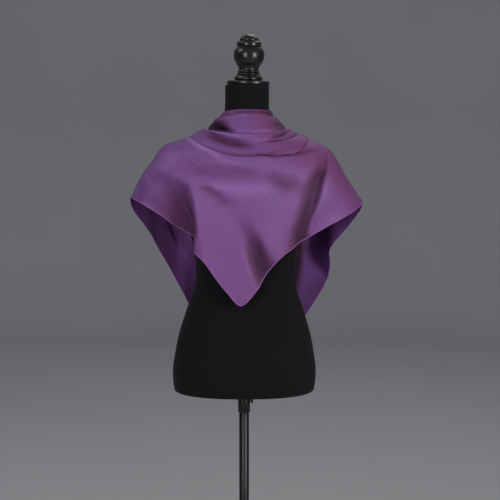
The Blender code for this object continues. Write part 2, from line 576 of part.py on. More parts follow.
def make_form_fittings(collection, lacquer, metal):
    cap_edge = [(0, CAP_THICKNESS), (CAP_RADIUS - CAP_EDGE, CAP_THICKNESS),
                (CAP_RADIUS, CAP_THICKNESS - CAP_EDGE), (CAP_RADIUS, CAP_EDGE),
                (CAP_RADIUS - CAP_EDGE, 0), (0, 0)]
    neck_x = LEAN * NECK_TOP / FULL_HEIGHT_UP + CAP_SHIFT
    tilt_lift = CAP_RADIUS * np.sin(CAP_TILT)
    cap = turned("neck_cap", cap_edge, collection, lacquer)
    cap.location = (neck_x, 0, UNDERSIDE + NECK_TOP + tilt_lift + GAP)
    cap.rotation_euler = (0, CAP_TILT, 0)

    finial = turned("finial", FINIAL_PROFILE, collection, lacquer)
    lift = CAP_THICKNESS + GAP
    finial.location = (cap.location.x + lift * np.sin(CAP_TILT), 0,
                       cap.location.z + lift * np.cos(CAP_TILT))
    finial.rotation_euler = cap.rotation_euler

    top = TORSO_UNDERSIDE - GAP
    inner = POLE_RADIUS + GAP
    collar_profile = [(inner, top), (COLLAR_RADIUS - COLLAR_EDGE, top),
                      (COLLAR_RADIUS, top - COLLAR_EDGE),
                      (COLLAR_RADIUS, top - COLLAR_HEIGHT + COLLAR_EDGE),
                      (COLLAR_RADIUS - COLLAR_EDGE, top - COLLAR_HEIGHT),
                      (inner, top - COLLAR_HEIGHT), (inner, top)]
    turned("pole_collar", collar_profile, collection, metal)

    bpy.ops.mesh.primitive_cylinder_add(vertices=ROUND_STEPS, radius=POLE_RADIUS,
                                        depth=top - SOCKET_FLOOR - GAP)
    pole = bpy.context.active_object
    pole.name = "pole"
    pole.location.z = (top + SOCKET_FLOOR + GAP) / 2
    pole.data.materials.append(metal)
    pole.data.shade_smooth()
    pole.data.set_sharp_from_angle(angle=np.radians(40))
    for other in list(pole.users_collection):
        other.objects.unlink(pole)
    collection.objects.link(pole)

    knob_profile = [(0, KNOB_REACH + KNOB_THICKNESS),
                    (KNOB_RADIUS - COLLAR_EDGE, KNOB_REACH + KNOB_THICKNESS),
                    (KNOB_RADIUS, KNOB_REACH + KNOB_THICKNESS - COLLAR_EDGE),
                    (KNOB_RADIUS, KNOB_REACH + COLLAR_EDGE),
                    (KNOB_RADIUS - COLLAR_EDGE, KNOB_REACH),
                    (KNOB_SHANK_RADIUS, KNOB_REACH), (KNOB_SHANK_RADIUS, 0), (0, 0)]
    knob = turned("thumb_knob", knob_profile, collection, metal, steps=KNOB_STEPS)
    knob.location = (COLLAR_RADIUS + GAP, 0, TORSO_UNDERSIDE - KNOB_DROP)
    knob.rotation_euler = (0, np.pi / 2, 0)

    base_profile = [(0, SOCKET_FLOOR), (inner, SOCKET_FLOOR), (inner, HUB_HEIGHT),
                    (HUB_RADIUS - COLLAR_EDGE, HUB_HEIGHT), (HUB_RADIUS, HUB_HEIGHT - COLLAR_EDGE),
                    (HUB_RADIUS, BASE_RISE + COLLAR_EDGE), (HUB_RADIUS + COLLAR_EDGE, BASE_RISE),
                    (BASE_RADIUS - BASE_EDGE, BASE_EDGE), (BASE_RADIUS, BASE_EDGE / 2),
                    (BASE_RADIUS, 0), (0, 0)]
    turned("base", base_profile, collection, metal)


def main():
    for old in list(bpy.data.objects):
        bpy.data.objects.remove(old, do_unlink=True)
    collection = bpy.data.collections.new("silk_square_scarf_on_a_dress_form")
    bpy.context.scene.collection.children.link(collection)

    silk = material("changeable purple silk", (0.13, 0.045, 0.17), 0.38, sheen=0.4)
    jersey = material("black jersey", (0.006, 0.006, 0.007), 0.85)
    lacquer = material("black lacquered wood", (0.008, 0.008, 0.009), 0.28)
    metal = material("black painted metal", (0.010, 0.010, 0.011), 0.40)

    make_scarf(collection, silk)
    make_torso(collection, jersey)
    make_form_fittings(collection, lacquer, metal)


main()
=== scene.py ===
# %% [markdown]
# # A silk square on a dress form
# A square of changeable silk is folded once on its diagonal and laid over the shoulders of a padded
# dress form, with the point at the front.  The cloth near the fold is bunched in cowl folds round the
# neck, and the two long ends hang down the back.  The packed model gives the frame: it says where each
# piece of the form and each stretch of the cloth is, in metres, with the form facing -Y.

# %% Load the frame
from collections import namedtuple

import bmesh
import bpy
import numpy as np
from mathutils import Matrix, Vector


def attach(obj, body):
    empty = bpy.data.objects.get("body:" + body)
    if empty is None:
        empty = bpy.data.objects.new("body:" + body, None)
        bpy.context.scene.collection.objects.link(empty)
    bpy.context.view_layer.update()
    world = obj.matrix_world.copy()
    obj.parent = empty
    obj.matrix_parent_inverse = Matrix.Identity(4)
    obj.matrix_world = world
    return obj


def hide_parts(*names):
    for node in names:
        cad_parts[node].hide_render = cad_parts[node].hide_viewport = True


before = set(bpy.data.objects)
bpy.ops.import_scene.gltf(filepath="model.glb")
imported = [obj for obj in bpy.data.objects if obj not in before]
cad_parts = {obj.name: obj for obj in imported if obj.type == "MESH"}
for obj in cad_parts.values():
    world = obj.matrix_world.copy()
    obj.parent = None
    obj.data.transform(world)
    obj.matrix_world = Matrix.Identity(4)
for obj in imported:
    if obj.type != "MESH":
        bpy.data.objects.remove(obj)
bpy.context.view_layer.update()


def shown(point):
    """A point with few digits, to print."""
    return tuple(round(float(v), 3) for v in point)


# %% [markdown]
# ## The camera
# The picture was taken from straight in front with a long lens, from a little above the scarf, so the
# camera looks down by a few degrees.  It is made first, because everything after it is judged through
# it.  The lens follows from how much the frame takes in at the form's distance.  Lights are aimed the same
# way later, so the helper that turns the camera to face a place serves for both.

# %% Place the camera
CAMERA_DISTANCE = 3.0      # from the lens to the form's axis, along the line of sight
CAMERA_PITCH = np.radians(5.0)
FRAME_WIDTH = 1.16         # what the frame takes in at that distance
AIM = Vector((0.0139, 0.0, 1.1410))
SENSOR = 36.0


def in_scene(name, data):
    """An object for a camera, a light or a mesh, linked to the scene."""
    made = bpy.data.objects.new(name, data)
    bpy.context.scene.collection.objects.link(made)
    return made


def aimed(name, data, aim, azimuth, elevation, distance):
    """A camera or light that faces a place, by its turn round the form and its height angle."""
    away = Vector((np.sin(azimuth) * np.cos(elevation), -np.cos(azimuth) * np.cos(elevation),
                   np.sin(elevation)))
    made = in_scene(name, data)
    made.location = aim + away * distance
    made.rotation_mode = "QUATERNION"
    made.rotation_quaternion = (-away).to_track_quat("-Z", "Y")
    return made


camera_data = bpy.data.cameras.new("camera")
camera_data.sensor_width = SENSOR
camera_data.lens = SENSOR * CAMERA_DISTANCE / FRAME_WIDTH
camera = aimed("camera", camera_data, AIM, 0, CAMERA_PITCH, CAMERA_DISTANCE)
bpy.context.scene.camera = camera
print("camera at", shown(camera.location), "lens", round(camera_data.lens, 1))

# %% [markdown]
# ## Shader maths in Python
# A finish is a sum of small effects: weave, slubs, wear, sheen.  Linking Math nodes by hand hides that
# sum, so a small class wraps one output of a node, and Python's operators on it add the Math nodes.
# Colours go through a Mix node instead, because a Math node would turn them grey.

# %% A class for node outputs
class Output:
    """One output of a node in a material.  Operators on it add Math nodes."""

    def __init__(self, tree, socket=None):
        self.tree, self.socket = tree, socket

    def node(self, kind, settings=None, values=None, out=0):
        """Add any node.  Its settings are set first, then its sockets get values or links."""
        made = self.tree.nodes.new(kind)
        for name, setting in (settings or {}).items():
            setattr(made, name, setting)
        for name, value in (values or {}).items():
            if isinstance(value, Output):
                self.tree.links.new(value.socket, made.inputs[name])
            else:
                made.inputs[name].default_value = value
        return Output(self.tree, made.outputs[out])

    def math(self, operation, first, second=0.0):
        return self.node("ShaderNodeMath", {"operation": operation}, {0: first, 1: second})

    def __add__(self, other):
        return self.math("ADD", self, other)

    def __sub__(self, other):
        return self.math("SUBTRACT", self, other)

    def __rsub__(self, other):
        return self.math("SUBTRACT", other, self)

    def __mul__(self, other):
        return self.math("MULTIPLY", self, other)

    def __truediv__(self, other):
        return self.math("DIVIDE", self, other)

    def __rtruediv__(self, other):
        return self.math("DIVIDE", other, self)

    __radd__, __rmul__ = __add__, __mul__

    def sine(self):
        return self.math("SINE", self)

    def held(self, low=0.0, high=1.0):
        """The value, kept between two limits."""
        return self.node("ShaderNodeClamp", {}, {0: self, 1: low, 2: high})

    def step(self, start, stop):
        """0 before start and 1 after stop, with a soft change between."""
        return self.node("ShaderNodeMapRange", {"interpolation_type": "SMOOTHSTEP"},
                         {0: self, 1: start, 2: stop, 3: 0.0, 4: 1.0})

    def mix(self, from_colour, to_colour):
        """A colour between two others, by this value."""
        return self.node("ShaderNodeMix", {"data_type": "RGBA"},
                         {0: self, 6: from_colour, 7: to_colour}, out=2)

    def tone(self, colour):
        """This value times a colour."""
        return self.node("ShaderNodeVectorMath", {"operation": "SCALE"}, {0: colour, 3: self})

    def part(self, axis):
        """One part of a vector: 0, 1 or 2."""
        return self.node("ShaderNodeSeparateXYZ", {}, {0: self}, out=axis)

    def noise(self, scale, detail=2.0, roughness=0.5):
        """Even noise at this place, 0 to 1."""
        return self.node("ShaderNodeTexNoise", {}, {"Vector": self, "Scale": scale, "Detail": detail,
                                                   "Roughness": roughness})

    def bump(self, distance, strength=1.0):
        """A normal, from this value as a height in units of distance."""
        return self.node("ShaderNodeBump", {}, {"Height": self, "Distance": distance,
                                                "Strength": strength})


class Finish:
    """A material with a Principled shader, whose fixed values are set straight on its sockets."""

    def __init__(self, name, **fixed):
        self.material = bpy.data.materials.new(name)
        self.material.use_nodes = True
        self.tree = self.material.node_tree
        self.shader = self.tree.nodes["Principled BSDF"]
        for socket, value in fixed.items():
            self.shader.inputs[socket.replace("_", " ")].default_value = value
        self.start = Output(self.tree)

    def place(self):
        """Object coordinates, in metres."""
        return self.start.node("ShaderNodeTexCoord", out="Object")

    def feed(self, **links):
        """Link values that change over the surface to the shader."""
        for socket, value in links.items():
            self.tree.links.new(value.socket, self.shader.inputs[socket.replace("_", " ")])
        print("finish:", self.material.name, "with", len(self.tree.nodes), "nodes")
        return self.material


print("helpers for node outputs:", ", ".join(name for name in vars(Output) if name[0] != "_"))

# %% [markdown]
# ## Changeable silk
# Changeable silk has a warp of one colour and a weft of another.  Here the warp is violet and the weft is a
# wine red, so folds that face away look blue-violet and flat stretches look warmer.  The warm colour is
# painted in as a sheen by the way the cloth faces in the room, and mixed in by broad uneven patches, not by
# the camera.  Slubs, the thick places in the yarn, run along both threads, which lie on the bias here
# because the square is folded on its diagonal.  The thin shell made below doesn't go as deep as the real
# folds, so its mesh also stores a value of painted shade and highlight: above 0 it darkens and warms the
# silk in a fold as painted shade, and below 0 it lightens a lip as a painted highlight.

# %% The silk's finish
VIOLET, WINE = (0.210, 0.070, 0.270), (0.215, 0.055, 0.165)
THREAD_PITCH = 0.00050     # from thread to thread
BIAS = 0.7071              # both threads lie at 45 degrees to the fold
SLUB_LENGTH, SLUB_WIDTH = 0.070, 0.0018
PAINTED_SHEEN_FACING = (0.62, -0.55, 0.56)      # painted sheen: cloth that faces this way is painted with the most weft colour
# warmth and shade below come from the painted sheen by facing, from real patches, slubs and cloud, and from
# the painted shade in folds
PAINTED_SHEEN_WARMTH, WARM_BY_PATCH, PAINTED_SHADE_WARMTH = 0.75, 0.35, 0.70
SHADE_BY_SLUB, SHADE_BY_PATCH, SHADE_BY_CLOUD, PAINTED_SHADE_STRENGTH = 0.26, 0.10, 0.22, 0.62
WEAVE_RELIEF, SLUB_RELIEF, CLOUD_RELIEF = 0.25, 2.0, 7.0      # in units of the relief's height
RELIEF_HEIGHT = 0.00012


def silk_finish(name, lift=1.0):
    finish = Finish(name, Metallic=0.15, Specular_IOR_Level=0.36,
                    Specular_Tint=(0.86, 0.66, 1.0, 1))
    cloth = finish.start.node("ShaderNodeUVMap", {"uv_map": "cloth"})
    across, along = cloth.part(0), cloth.part(1)
    warp, weft = (across + along) * BIAS, (across - along) * BIAS
    turn = 2 * np.pi / THREAD_PITCH
    weave = (warp * turn).sine() * (weft * turn).sine()

    def slubs(long_way, short_way):
        stretched = finish.start.node("ShaderNodeCombineXYZ", {}, {0: long_way / SLUB_LENGTH,
                                                                    1: short_way / SLUB_WIDTH})
        return stretched.noise(1.0, detail=1.0)

    both_slubs = slubs(warp, weft) + slubs(weft, warp) - 1.0
    # painted sheen: the weft's warm colour is painted where the cloth faces one fixed way in the room
    normal = finish.start.node("ShaderNodeNewGeometry", out="Normal")
    painted_sheen = finish.start.node("ShaderNodeVectorMath", {"operation": "DOT_PRODUCT"},
                               {0: normal, 1: PAINTED_SHEEN_FACING}, out="Value")
    patches = finish.place().noise(5.0, detail=3.0)
    warm = (painted_sheen.step(0.70, 0.98) * PAINTED_SHEEN_WARMTH + patches.step(0.45, 0.75) * WARM_BY_PATCH).held()
    # painted shade in the folds, and below 0 a painted highlight on the lips, stored with the mesh
    painted_shade_and_highlight = finish.start.node("ShaderNodeAttribute", {"attribute_name": "painted_shade_and_highlight"}, out="Fac")
    warm = (warm + painted_shade_and_highlight * PAINTED_SHADE_WARMTH).held()
    # a lift above 1 makes a copy of the silk painted lighter
    violet, wine = (tuple(part * lift for part in dye) + (1,) for dye in (VIOLET, WINE))
    colour = warm.mix(violet, wine)
    cloudy = finish.place().noise(38.0, detail=4.0, roughness=0.6)
    # the painted shade darkens the colour here, and lightens it where it is below 0
    shade = (1.0 + both_slubs * SHADE_BY_SLUB + (patches - 0.5) * SHADE_BY_PATCH
             + (cloudy - 0.5) * SHADE_BY_CLOUD - painted_shade_and_highlight * PAINTED_SHADE_STRENGTH)
    height = weave * WEAVE_RELIEF + both_slubs * SLUB_RELIEF + (cloudy - 0.5) * CLOUD_RELIEF
    return finish.feed(Base_Color=shade.tone(colour), Roughness=0.46 + both_slubs * 0.10 + warm * 0.06,
                       Normal=height.bump(RELIEF_HEIGHT, 0.7))


silk = silk_finish("changeable_silk")
# the rolled hem is the same silk painted 1.6 times lighter, a painted highlight along its edge
hem_silk_painted_lighter = silk_finish("changeable_silk_rolled_painted_lighter", lift=1.6)

# %% [markdown]
# ## Black jersey, lacquer and paint
# The form is covered with a matt knit that drinks the light, its cap and finial are turned wood under satin
# lacquer, and the pole, collar, knob and foot are painted metal.  All are black, so what tells them apart
# is how they shine: fine wales in the knit, faint grain under the lacquer, and a slight orange peel in the
# paint with paler worn spots scattered over it.

# %% The black finishes
WALE = 0.0011              # from wale to wale in the knit
KNIT_BLACK, LACQUER_BLACK = (0.0080, 0.0080, 0.0095), (0.0070, 0.0070, 0.0078)
PAINT_BLACK, PAINT_WORN = (0.0100, 0.0100, 0.0110, 1), (0.0320, 0.0310, 0.0300, 1)
KNIT_RELIEF, GRAIN_RELIEF, PEEL_RELIEF = 0.00015, 0.00010, 0.00006


def jersey_finish():
    finish = Finish("black_jersey", Sheen_Weight=0.04, Sheen_Roughness=0.5, Specular_IOR_Level=0.22)
    cloth = finish.start.node("ShaderNodeUVMap", {"uv_map": "cloth"})
    turn = 2 * np.pi / WALE
    across, up = cloth.part(0), cloth.part(1)
    stitches = (across * turn).sine() * 0.6 + (up * turn + (across * turn).sine() * 1.2).sine() * 0.5
    fuzz = finish.place().noise(160.0, detail=4.0, roughness=0.7)
    soiling = finish.place().noise(4.0, detail=3.0)
    shade = 0.85 + fuzz * 0.20 + soiling * 0.12
    return finish.feed(Base_Color=shade.tone(KNIT_BLACK), Roughness=0.80 + fuzz * 0.15,
                       Normal=(stitches + fuzz * 1.5).bump(KNIT_RELIEF, 0.6))


def lacquer_finish():
    finish = Finish("black_lacquer", Coat_Roughness=0.22, Specular_IOR_Level=0.45)
    place = finish.place()
    grain = finish.start.node("ShaderNodeMapping", {}, {"Vector": place, "Scale": (30.0, 30.0, 4.0)})
    fibres = grain.noise(6.0, detail=4.0, roughness=0.6)
    smudges = place.noise(45.0, detail=3.0)
    shade = 0.80 + fibres * 0.25
    return finish.feed(Base_Color=shade.tone(LACQUER_BLACK), Roughness=0.30 + smudges * 0.12,
                       Coat_Weight=0.25 + smudges * 0.20, Normal=fibres.bump(GRAIN_RELIEF, 0.35))


def paint_finish():
    finish = Finish("black_paint", Coat_Roughness=0.30, Specular_IOR_Level=0.5)
    place = finish.place()
    peel = place.noise(700.0, detail=2.0)
    rubbed = place.noise(60.0, detail=5.0, roughness=0.65).step(0.60, 0.74)
    colour = (rubbed * 0.35).mix(PAINT_BLACK, PAINT_WORN)
    return finish.feed(Base_Color=colour, Roughness=0.38 + rubbed * 0.14, Metallic=rubbed * 0.30,
                       Normal=peel.bump(PEEL_RELIEF, 0.5))


jersey, lacquer, paint = jersey_finish(), lacquer_finish(), paint_finish()

# %% [markdown]
# ## Meshes from grids
# The cloth and the torso are both grids of points: lines round the form crossed by lines up and down it.
# Smooth curves through a few chosen points give the fine lines.  The last helper makes a piece with a cloth
# map in metres, so that a weave keeps its real size, puts it on the frame's body, and hides the packed
# nodes it stands for.

# %% Mesh helpers
SMOOTH_ANGLE = np.radians(65)          # edges sharper than this stay crisp
TINY = 1e-9


def curve_through(knots, values, at):
    """A smooth curve that passes through the values at their knots."""
    knots, values, at = np.asarray(knots, float), np.asarray(values, float), np.asarray(at, float)
    slopes = np.gradient(values, knots, axis=0)
    left = np.clip(np.searchsorted(knots, at, side="right") - 1, 0, len(knots) - 2)
    width = knots[left + 1] - knots[left]
    share = (at - knots[left]) / width
    shape = share.shape + (1,) * (values.ndim - 1)
    t, h = share.reshape(shape), width.reshape(shape)
    return ((2 * t**3 - 3 * t**2 + 1) * values[left] + (t**3 - 2 * t**2 + t) * h * slopes[left]
            + (3 * t**2 - 2 * t**3) * values[left + 1] + (t**3 - t**2) * h * slopes[left + 1])


def unit(vectors):
    return vectors / np.maximum(np.linalg.norm(vectors, axis=-1, keepdims=True), TINY)


def run_lengths(grid, axis):
    """How far each point of a grid lies along its line, in metres."""
    steps = np.linalg.norm(np.diff(grid, axis=axis), axis=-1)
    start = np.zeros_like(np.take(steps, [0], axis=axis))
    return np.concatenate([start, np.cumsum(steps, axis=axis)], axis=axis)


def grid_faces(rows, columns, first=0, flip=False):
    """Quads between the points of a grid whose points are numbered row by row."""
    corner = first + (np.arange(rows - 1)[:, None] * columns + np.arange(columns - 1)[None, :])
    quads = np.stack([corner, corner + columns, corner + columns + 1, corner + 1], axis=-1).reshape(-1, 4)
    return quads[:, ::-1] if flip else quads


def new_mesh(name, points, faces, finish):
    """A smooth mesh in one finish."""
    mesh = bpy.data.meshes.new(name)
    mesh.from_pydata([tuple(p) for p in points], [], [list(map(int, face)) for face in faces])
    mesh.materials.append(finish)
    mesh.shade_smooth()
    return mesh


def add_piece(name, points, faces, finish, replaces=(), cloth_map=None):
    """A finished mesh piece that rides on the form's body."""
    mesh = new_mesh(name, points, faces, finish)
    if cloth_map is not None:
        layer = mesh.uv_layers.new(name="cloth")
        corners = np.empty(len(mesh.loops), np.int32)
        mesh.loops.foreach_get("vertex_index", corners)
        layer.data.foreach_set("uv", np.asarray(cloth_map, np.float32)[corners].ravel())
    mesh.validate()
    mesh.set_sharp_from_angle(angle=SMOOTH_ANGLE)
    piece = in_scene(name, mesh)
    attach(piece, "root")
    if replaces:
        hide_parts(*replaces)
    triangles = sum(len(polygon.vertices) - 2 for polygon in mesh.polygons)
    print("piece:", name, triangles, "triangles")
    return piece


print("edges up to", round(np.degrees(SMOOTH_ANGLE)), "degrees are shaded smooth")

# %% [markdown]
# ## The torso
# The real torso is a padded shell under a tight jersey cover.  It has no limbs, and its neck ends flat
# under the cap.  Sections through it are superellipses, so one short table of widths and depths gives the
# whole form.  A smooth curve is passed through the table's rows, because a knit cover shows any corner.
# The cover is sewn from panels, so a shallow seam runs down each side and down the middle of the back.

# %% Make the jersey torso
UNDERSIDE = 0.800          # height above the floor that every "up" is counted from
FULL_HEIGHT_UP = 0.724     # from that level to the top of the neck
LEAN = 0.0075              # how far the neck's top stands to the right of the hips

Section = namedtuple("Section", "up width front back squareness")
TORSO = [
    Section(0.0100, 0.1520, 0.1020, 0.0960, 2.2),
    Section(0.0125, 0.1590, 0.1065, 0.1010, 2.2),
    Section(0.0200, 0.1640, 0.1100, 0.1055, 2.2),
    Section(0.0600, 0.1670, 0.1130, 0.1120, 2.2),
    Section(0.1000, 0.1620, 0.1100, 0.1120, 2.2),
    Section(0.1400, 0.1545, 0.1040, 0.1060, 2.2),
    Section(0.1800, 0.1430, 0.0975, 0.0975, 2.2),
    Section(0.2200, 0.1300, 0.0910, 0.0880, 2.2),
    Section(0.2560, 0.1180, 0.0865, 0.0810, 2.2),
    Section(0.2900, 0.1148, 0.0850, 0.0770, 2.2),
    Section(0.3400, 0.1190, 0.0890, 0.0780, 2.3),
    Section(0.4000, 0.1330, 0.1020, 0.0850, 2.4),
    Section(0.4500, 0.1450, 0.1110, 0.0920, 2.3),
    Section(0.4900, 0.1540, 0.1100, 0.0960, 2.2),
    Section(0.5300, 0.1660, 0.0990, 0.0960, 2.1),
    Section(0.5600, 0.1765, 0.0880, 0.0900, 2.0),
    Section(0.5720, 0.1780, 0.0830, 0.0850, 2.0),
    Section(0.5800, 0.1720, 0.0790, 0.0810, 2.0),
    Section(0.5880, 0.1560, 0.0750, 0.0770, 2.0),
    Section(0.5960, 0.1330, 0.0710, 0.0730, 2.0),
    Section(0.6030, 0.1100, 0.0680, 0.0700, 2.0),
    Section(0.6110, 0.0900, 0.0640, 0.0660, 2.0),
    Section(0.6220, 0.0740, 0.0595, 0.0615, 2.0),
    Section(0.6400, 0.0590, 0.0550, 0.0565, 2.0),
    Section(0.6600, 0.0515, 0.0515, 0.0515, 2.0),
    Section(0.7160, 0.0502, 0.0502, 0.0502, 2.0),
    Section(0.7205, 0.0485, 0.0485, 0.0485, 2.0),
]
SECTION_STEPS = 6          # fine sections to each row of the table
TORSO_COLUMNS = 120
SEAM_ANGLES = (0, 90, 180)             # right side, middle of the back, left side
SEAM_HALF_WIDTH, SEAM_DEPTH = 1.0, 0.0007   # degrees, metres
WELD = 0.000001            # points nearer than this become one

section_at = np.linspace(0, len(TORSO) - 1, (len(TORSO) - 1) * SECTION_STEPS + 1)
FINE_TORSO = curve_through(np.arange(len(TORSO)), np.array(TORSO), section_at)


def in_place(points):
    """From the form's own measures to the object's: up from the floor, and leaning."""
    placed = np.array(points, float)
    placed[..., 0] += LEAN * placed[..., 2] / FULL_HEIGHT_UP
    placed[..., 2] += UNDERSIDE
    return placed


def make_torso():
    even = np.linspace(-90, 270, TORSO_COLUMNS, endpoint=False)
    beside = [seam + side * SEAM_HALF_WIDTH for seam in SEAM_ANGLES for side in (-1, 0, 1)]
    degrees = np.unique(np.concatenate([even, beside]))
    degrees = np.append(degrees, degrees[0] + 360)
    angles = np.radians(degrees)
    in_seam = np.isin(np.round(degrees, 3), SEAM_ANGLES)
    up, width, front, back_depth, square = (FINE_TORSO[:, i, None] for i in range(5))
    sine, cosine = np.sin(angles)[None, :], np.cos(angles)[None, :]
    depth = np.where(sine < 0, front, back_depth)
    drawn = SEAM_DEPTH * in_seam[None, :]
    rings = np.stack([(width - drawn) * np.sign(cosine) * np.abs(cosine) ** (2 / square),
                      (depth - drawn) * np.sign(sine) * np.abs(sine) ** (2 / square),
                      up + 0 * sine], axis=-1)
    rows, columns = rings.shape[:2]
    around, upward = run_lengths(rings, 1), run_lengths(rings, 0)
    points = in_place(rings).reshape(-1, 3)
    faces = [tuple(face) for face in grid_faces(rows, columns)]
    faces.append(tuple(range(columns - 1)))
    faces.append(tuple(range((rows - 1) * columns + columns - 2, (rows - 1) * columns - 1, -1)))
    cloth_map = np.stack([around, upward], axis=-1).reshape(-1, 2)
    torso = add_piece("jersey_torso", points, faces, jersey, ["form_torso"], cloth_map)
    weld = bmesh.new()
    weld.from_mesh(torso.data)
    bmesh.ops.remove_doubles(weld, verts=weld.verts, dist=WELD)
    bmesh.ops.recalc_face_normals(weld, faces=weld.faces)
    weld.to_mesh(torso.data)
    weld.free()


make_torso()

# %% [markdown]
# ## Cap and finial
# Both are turned on a lathe, so each is half an outline spun round.  A turner cuts beads and coves that
# meet at crisp lines: the outline is therefore a few smooth runs, each a curve through its own points,
# with a corner kept wherever two runs meet.  The cap is tilted a little, as it sits on the padded neck.

# %% A helper for turned pieces
TURN_STEPS = 96
RUN_POINTS = 5             # fine points to each stretch of a smooth run
ON_AXIS = 1e-6             # a ring narrower than this is one point


def fine_run(run):
    """A fine curve through a run's points, or the run itself where it is straight."""
    run, knots = np.array(run, float), np.arange(len(run))
    fine = np.linspace(0, knots[-1], knots[-1] * RUN_POINTS + 1)
    return run if len(run) == 2 else curve_through(knots, run, fine)


def turned(name, runs, finish, node, steps=TURN_STEPS, lift=0.0, lean=0.0, foot=(0, 0, 0),
           along_x=False):
    """Spin an outline of smooth runs, each a list of (radius, height) from the top down."""
    outline = []
    for run in runs:
        outline.extend(fine_run(run)[1 if outline else 0:])
    outline = np.array(outline)
    outline[:, 0] = np.maximum(outline[:, 0], 0)
    closed = np.allclose(outline[0], outline[-1])
    outline = outline[:-1] if closed else outline
    turns = np.linspace(0, 2 * np.pi, steps, endpoint=False)
    radius, height = outline[:, :1], outline[:, 1:]
    rings = np.stack([radius * np.cos(turns), radius * np.sin(turns), height + lift + 0 * turns], axis=-1)
    if along_x:
        rings = rings[..., [2, 1, 0]] * (1, 1, -1)
    tilted = rings.copy()
    tilted[..., 0] = rings[..., 0] * np.cos(lean) + rings[..., 2] * np.sin(lean)
    tilted[..., 2] = rings[..., 2] * np.cos(lean) - rings[..., 0] * np.sin(lean)
    shaped = bmesh.new()
    rows = []
    for ring, (own_radius, _) in zip(tilted + np.array(foot), outline):
        corners = [shaped.verts.new(p) for p in (ring if own_radius > ON_AXIS else ring[:1])]
        rows.append(corners * steps if len(corners) == 1 else corners)
    for upper, lower in zip(rows, rows[1:] + (rows[:1] if closed else [])):
        for i in range(steps):
            j = (i + 1) % steps
            corners = list(dict.fromkeys([upper[i], lower[i], lower[j], upper[j]]))
            if len(corners) > 2:
                shaped.faces.new(corners)
    bmesh.ops.recalc_face_normals(shaped, faces=shaped.faces)
    shaped.verts.index_update()
    points = [v.co.copy() for v in shaped.verts]
    faces = [[v.index for v in face.verts] for face in shaped.faces]
    shaped.free()
    return add_piece(name, points, faces, finish, [node])


print("turned pieces have", TURN_STEPS, "steps round and", RUN_POINTS, "points to a stretch")

# %% Turn the cap and the finial
GAP = 0.0003               # left between two pieces that meet
NECK_TOP = 0.7205
CAP_RADIUS, CAP_THICKNESS, CAP_EDGE = 0.0490, 0.0078, 0.0016
CAP_SHIFT = 0.0025         # the cap sits a little to the right of the neck's axis
CAP_TILT = np.radians(1.3)
ROUNDED = 0.3              # where the middle of a rounded edge lies, as a share of the edge


def rounded_edge(radius, height, edge, way):
    """Three points from a flat face out over its edge: the way is -1 down a top edge, 1 up a low one."""
    near = ROUNDED * edge
    return [(radius - edge, height), (radius - near, height + way * near), (radius, height + way * edge)]


neck_x = LEAN * NECK_TOP / FULL_HEIGHT_UP + CAP_SHIFT
cap_foot = (neck_x, 0, UNDERSIDE + NECK_TOP + CAP_RADIUS * np.sin(CAP_TILT) + GAP)
cap_top = rounded_edge(CAP_RADIUS, CAP_THICKNESS, CAP_EDGE, -1)
cap_low = rounded_edge(CAP_RADIUS, 0, CAP_EDGE, 1)[::-1]
CAP_RUNS = [[(0, CAP_THICKNESS), cap_top[0]], cap_top, [cap_top[-1], cap_low[0]], cap_low,
            [cap_low[-1], (0, 0)]]
FINIAL_RUNS = [            # button, beads, vase, neck, rings and foot, from the top down
    [(0.0000, 0.1070), (0.0085, 0.1055), (0.0155, 0.1020), (0.0203, 0.0975), (0.0222, 0.0945),
     (0.0218, 0.0915)],
    [(0.0218, 0.0915), (0.0262, 0.0885), (0.0282, 0.0860), (0.0284, 0.0830), (0.0282, 0.0800),
     (0.0268, 0.0775)],
    [(0.0268, 0.0775), (0.0308, 0.0735), (0.0340, 0.0675), (0.0354, 0.0590), (0.0342, 0.0500),
     (0.0300, 0.0410), (0.0250, 0.0335), (0.0227, 0.0275), (0.0228, 0.0240)],
    [(0.0228, 0.0240), (0.0252, 0.0212), (0.0240, 0.0185)],
    [(0.0240, 0.0185), (0.0264, 0.0160), (0.0258, 0.0135)],
    [(0.0258, 0.0135), (0.0300, 0.0110), (0.0324, 0.0060), (0.0318, 0.0020), (0.0300, 0.0000)],
    [(0.0300, 0.0000), (0.0000, 0.0000)],
]
turned("cap_plate", CAP_RUNS, lacquer, "neck_cap", lean=CAP_TILT, foot=cap_foot)
turned("turned_finial", FINIAL_RUNS, lacquer, "finial", lean=CAP_TILT,
       lift=CAP_THICKNESS + GAP, foot=cap_foot)

# %% [markdown]
# ## Pole, collar, knob and foot
# The torso stands on a steel tube.  A collar under it is clamped to the tube by a thumb screw, and the
# tube stands in the hub of a round weighted foot.  These are plain turned shapes, with their edges
# broken as a lathe tool leaves them.  The knob's rim is knurled: its radius goes in and out round it.

# %% Turn the pole and its fittings
POLE_RADIUS = 0.0114
COLLAR_RADIUS, COLLAR_HEIGHT, EDGE = 0.0142, 0.0500, 0.0012
KNOB_RADIUS, KNOB_THICKNESS, KNOB_SHANK_RADIUS, KNOB_REACH = 0.0086, 0.0052, 0.0030, 0.0012
KNOB_DROP = 0.0210         # from the torso's underside to the knob's axis
KNURLS, KNURL_DEPTH, KNURL_BAND = 28, 0.0003, 0.0001
BASE_RADIUS, BASE_EDGE, BASE_RISE = 0.1900, 0.0120, 0.0200
BASE_SHOULDER = 0.88       # how high the middle of the foot's rim stands, as a share of its edge
HUB_RADIUS, HUB_HEIGHT, SOCKET_FLOOR = 0.0300, 0.0600, 0.0150

torso_underside = UNDERSIDE + TORSO[0].up
top = torso_underside - GAP
bore = POLE_RADIUS + GAP


def straight(corners):
    """Runs with a corner at every point."""
    return [[first, second] for first, second in zip(corners, corners[1:])]


def drum(radius, low, high, edge, inner=0):
    """The corners of a short cylinder with broken edges, from the top of its axis or bore down."""
    return [(inner, high), (radius - edge, high), (radius, high - edge), (radius, low + edge),
            (radius - edge, low), (inner, low)]


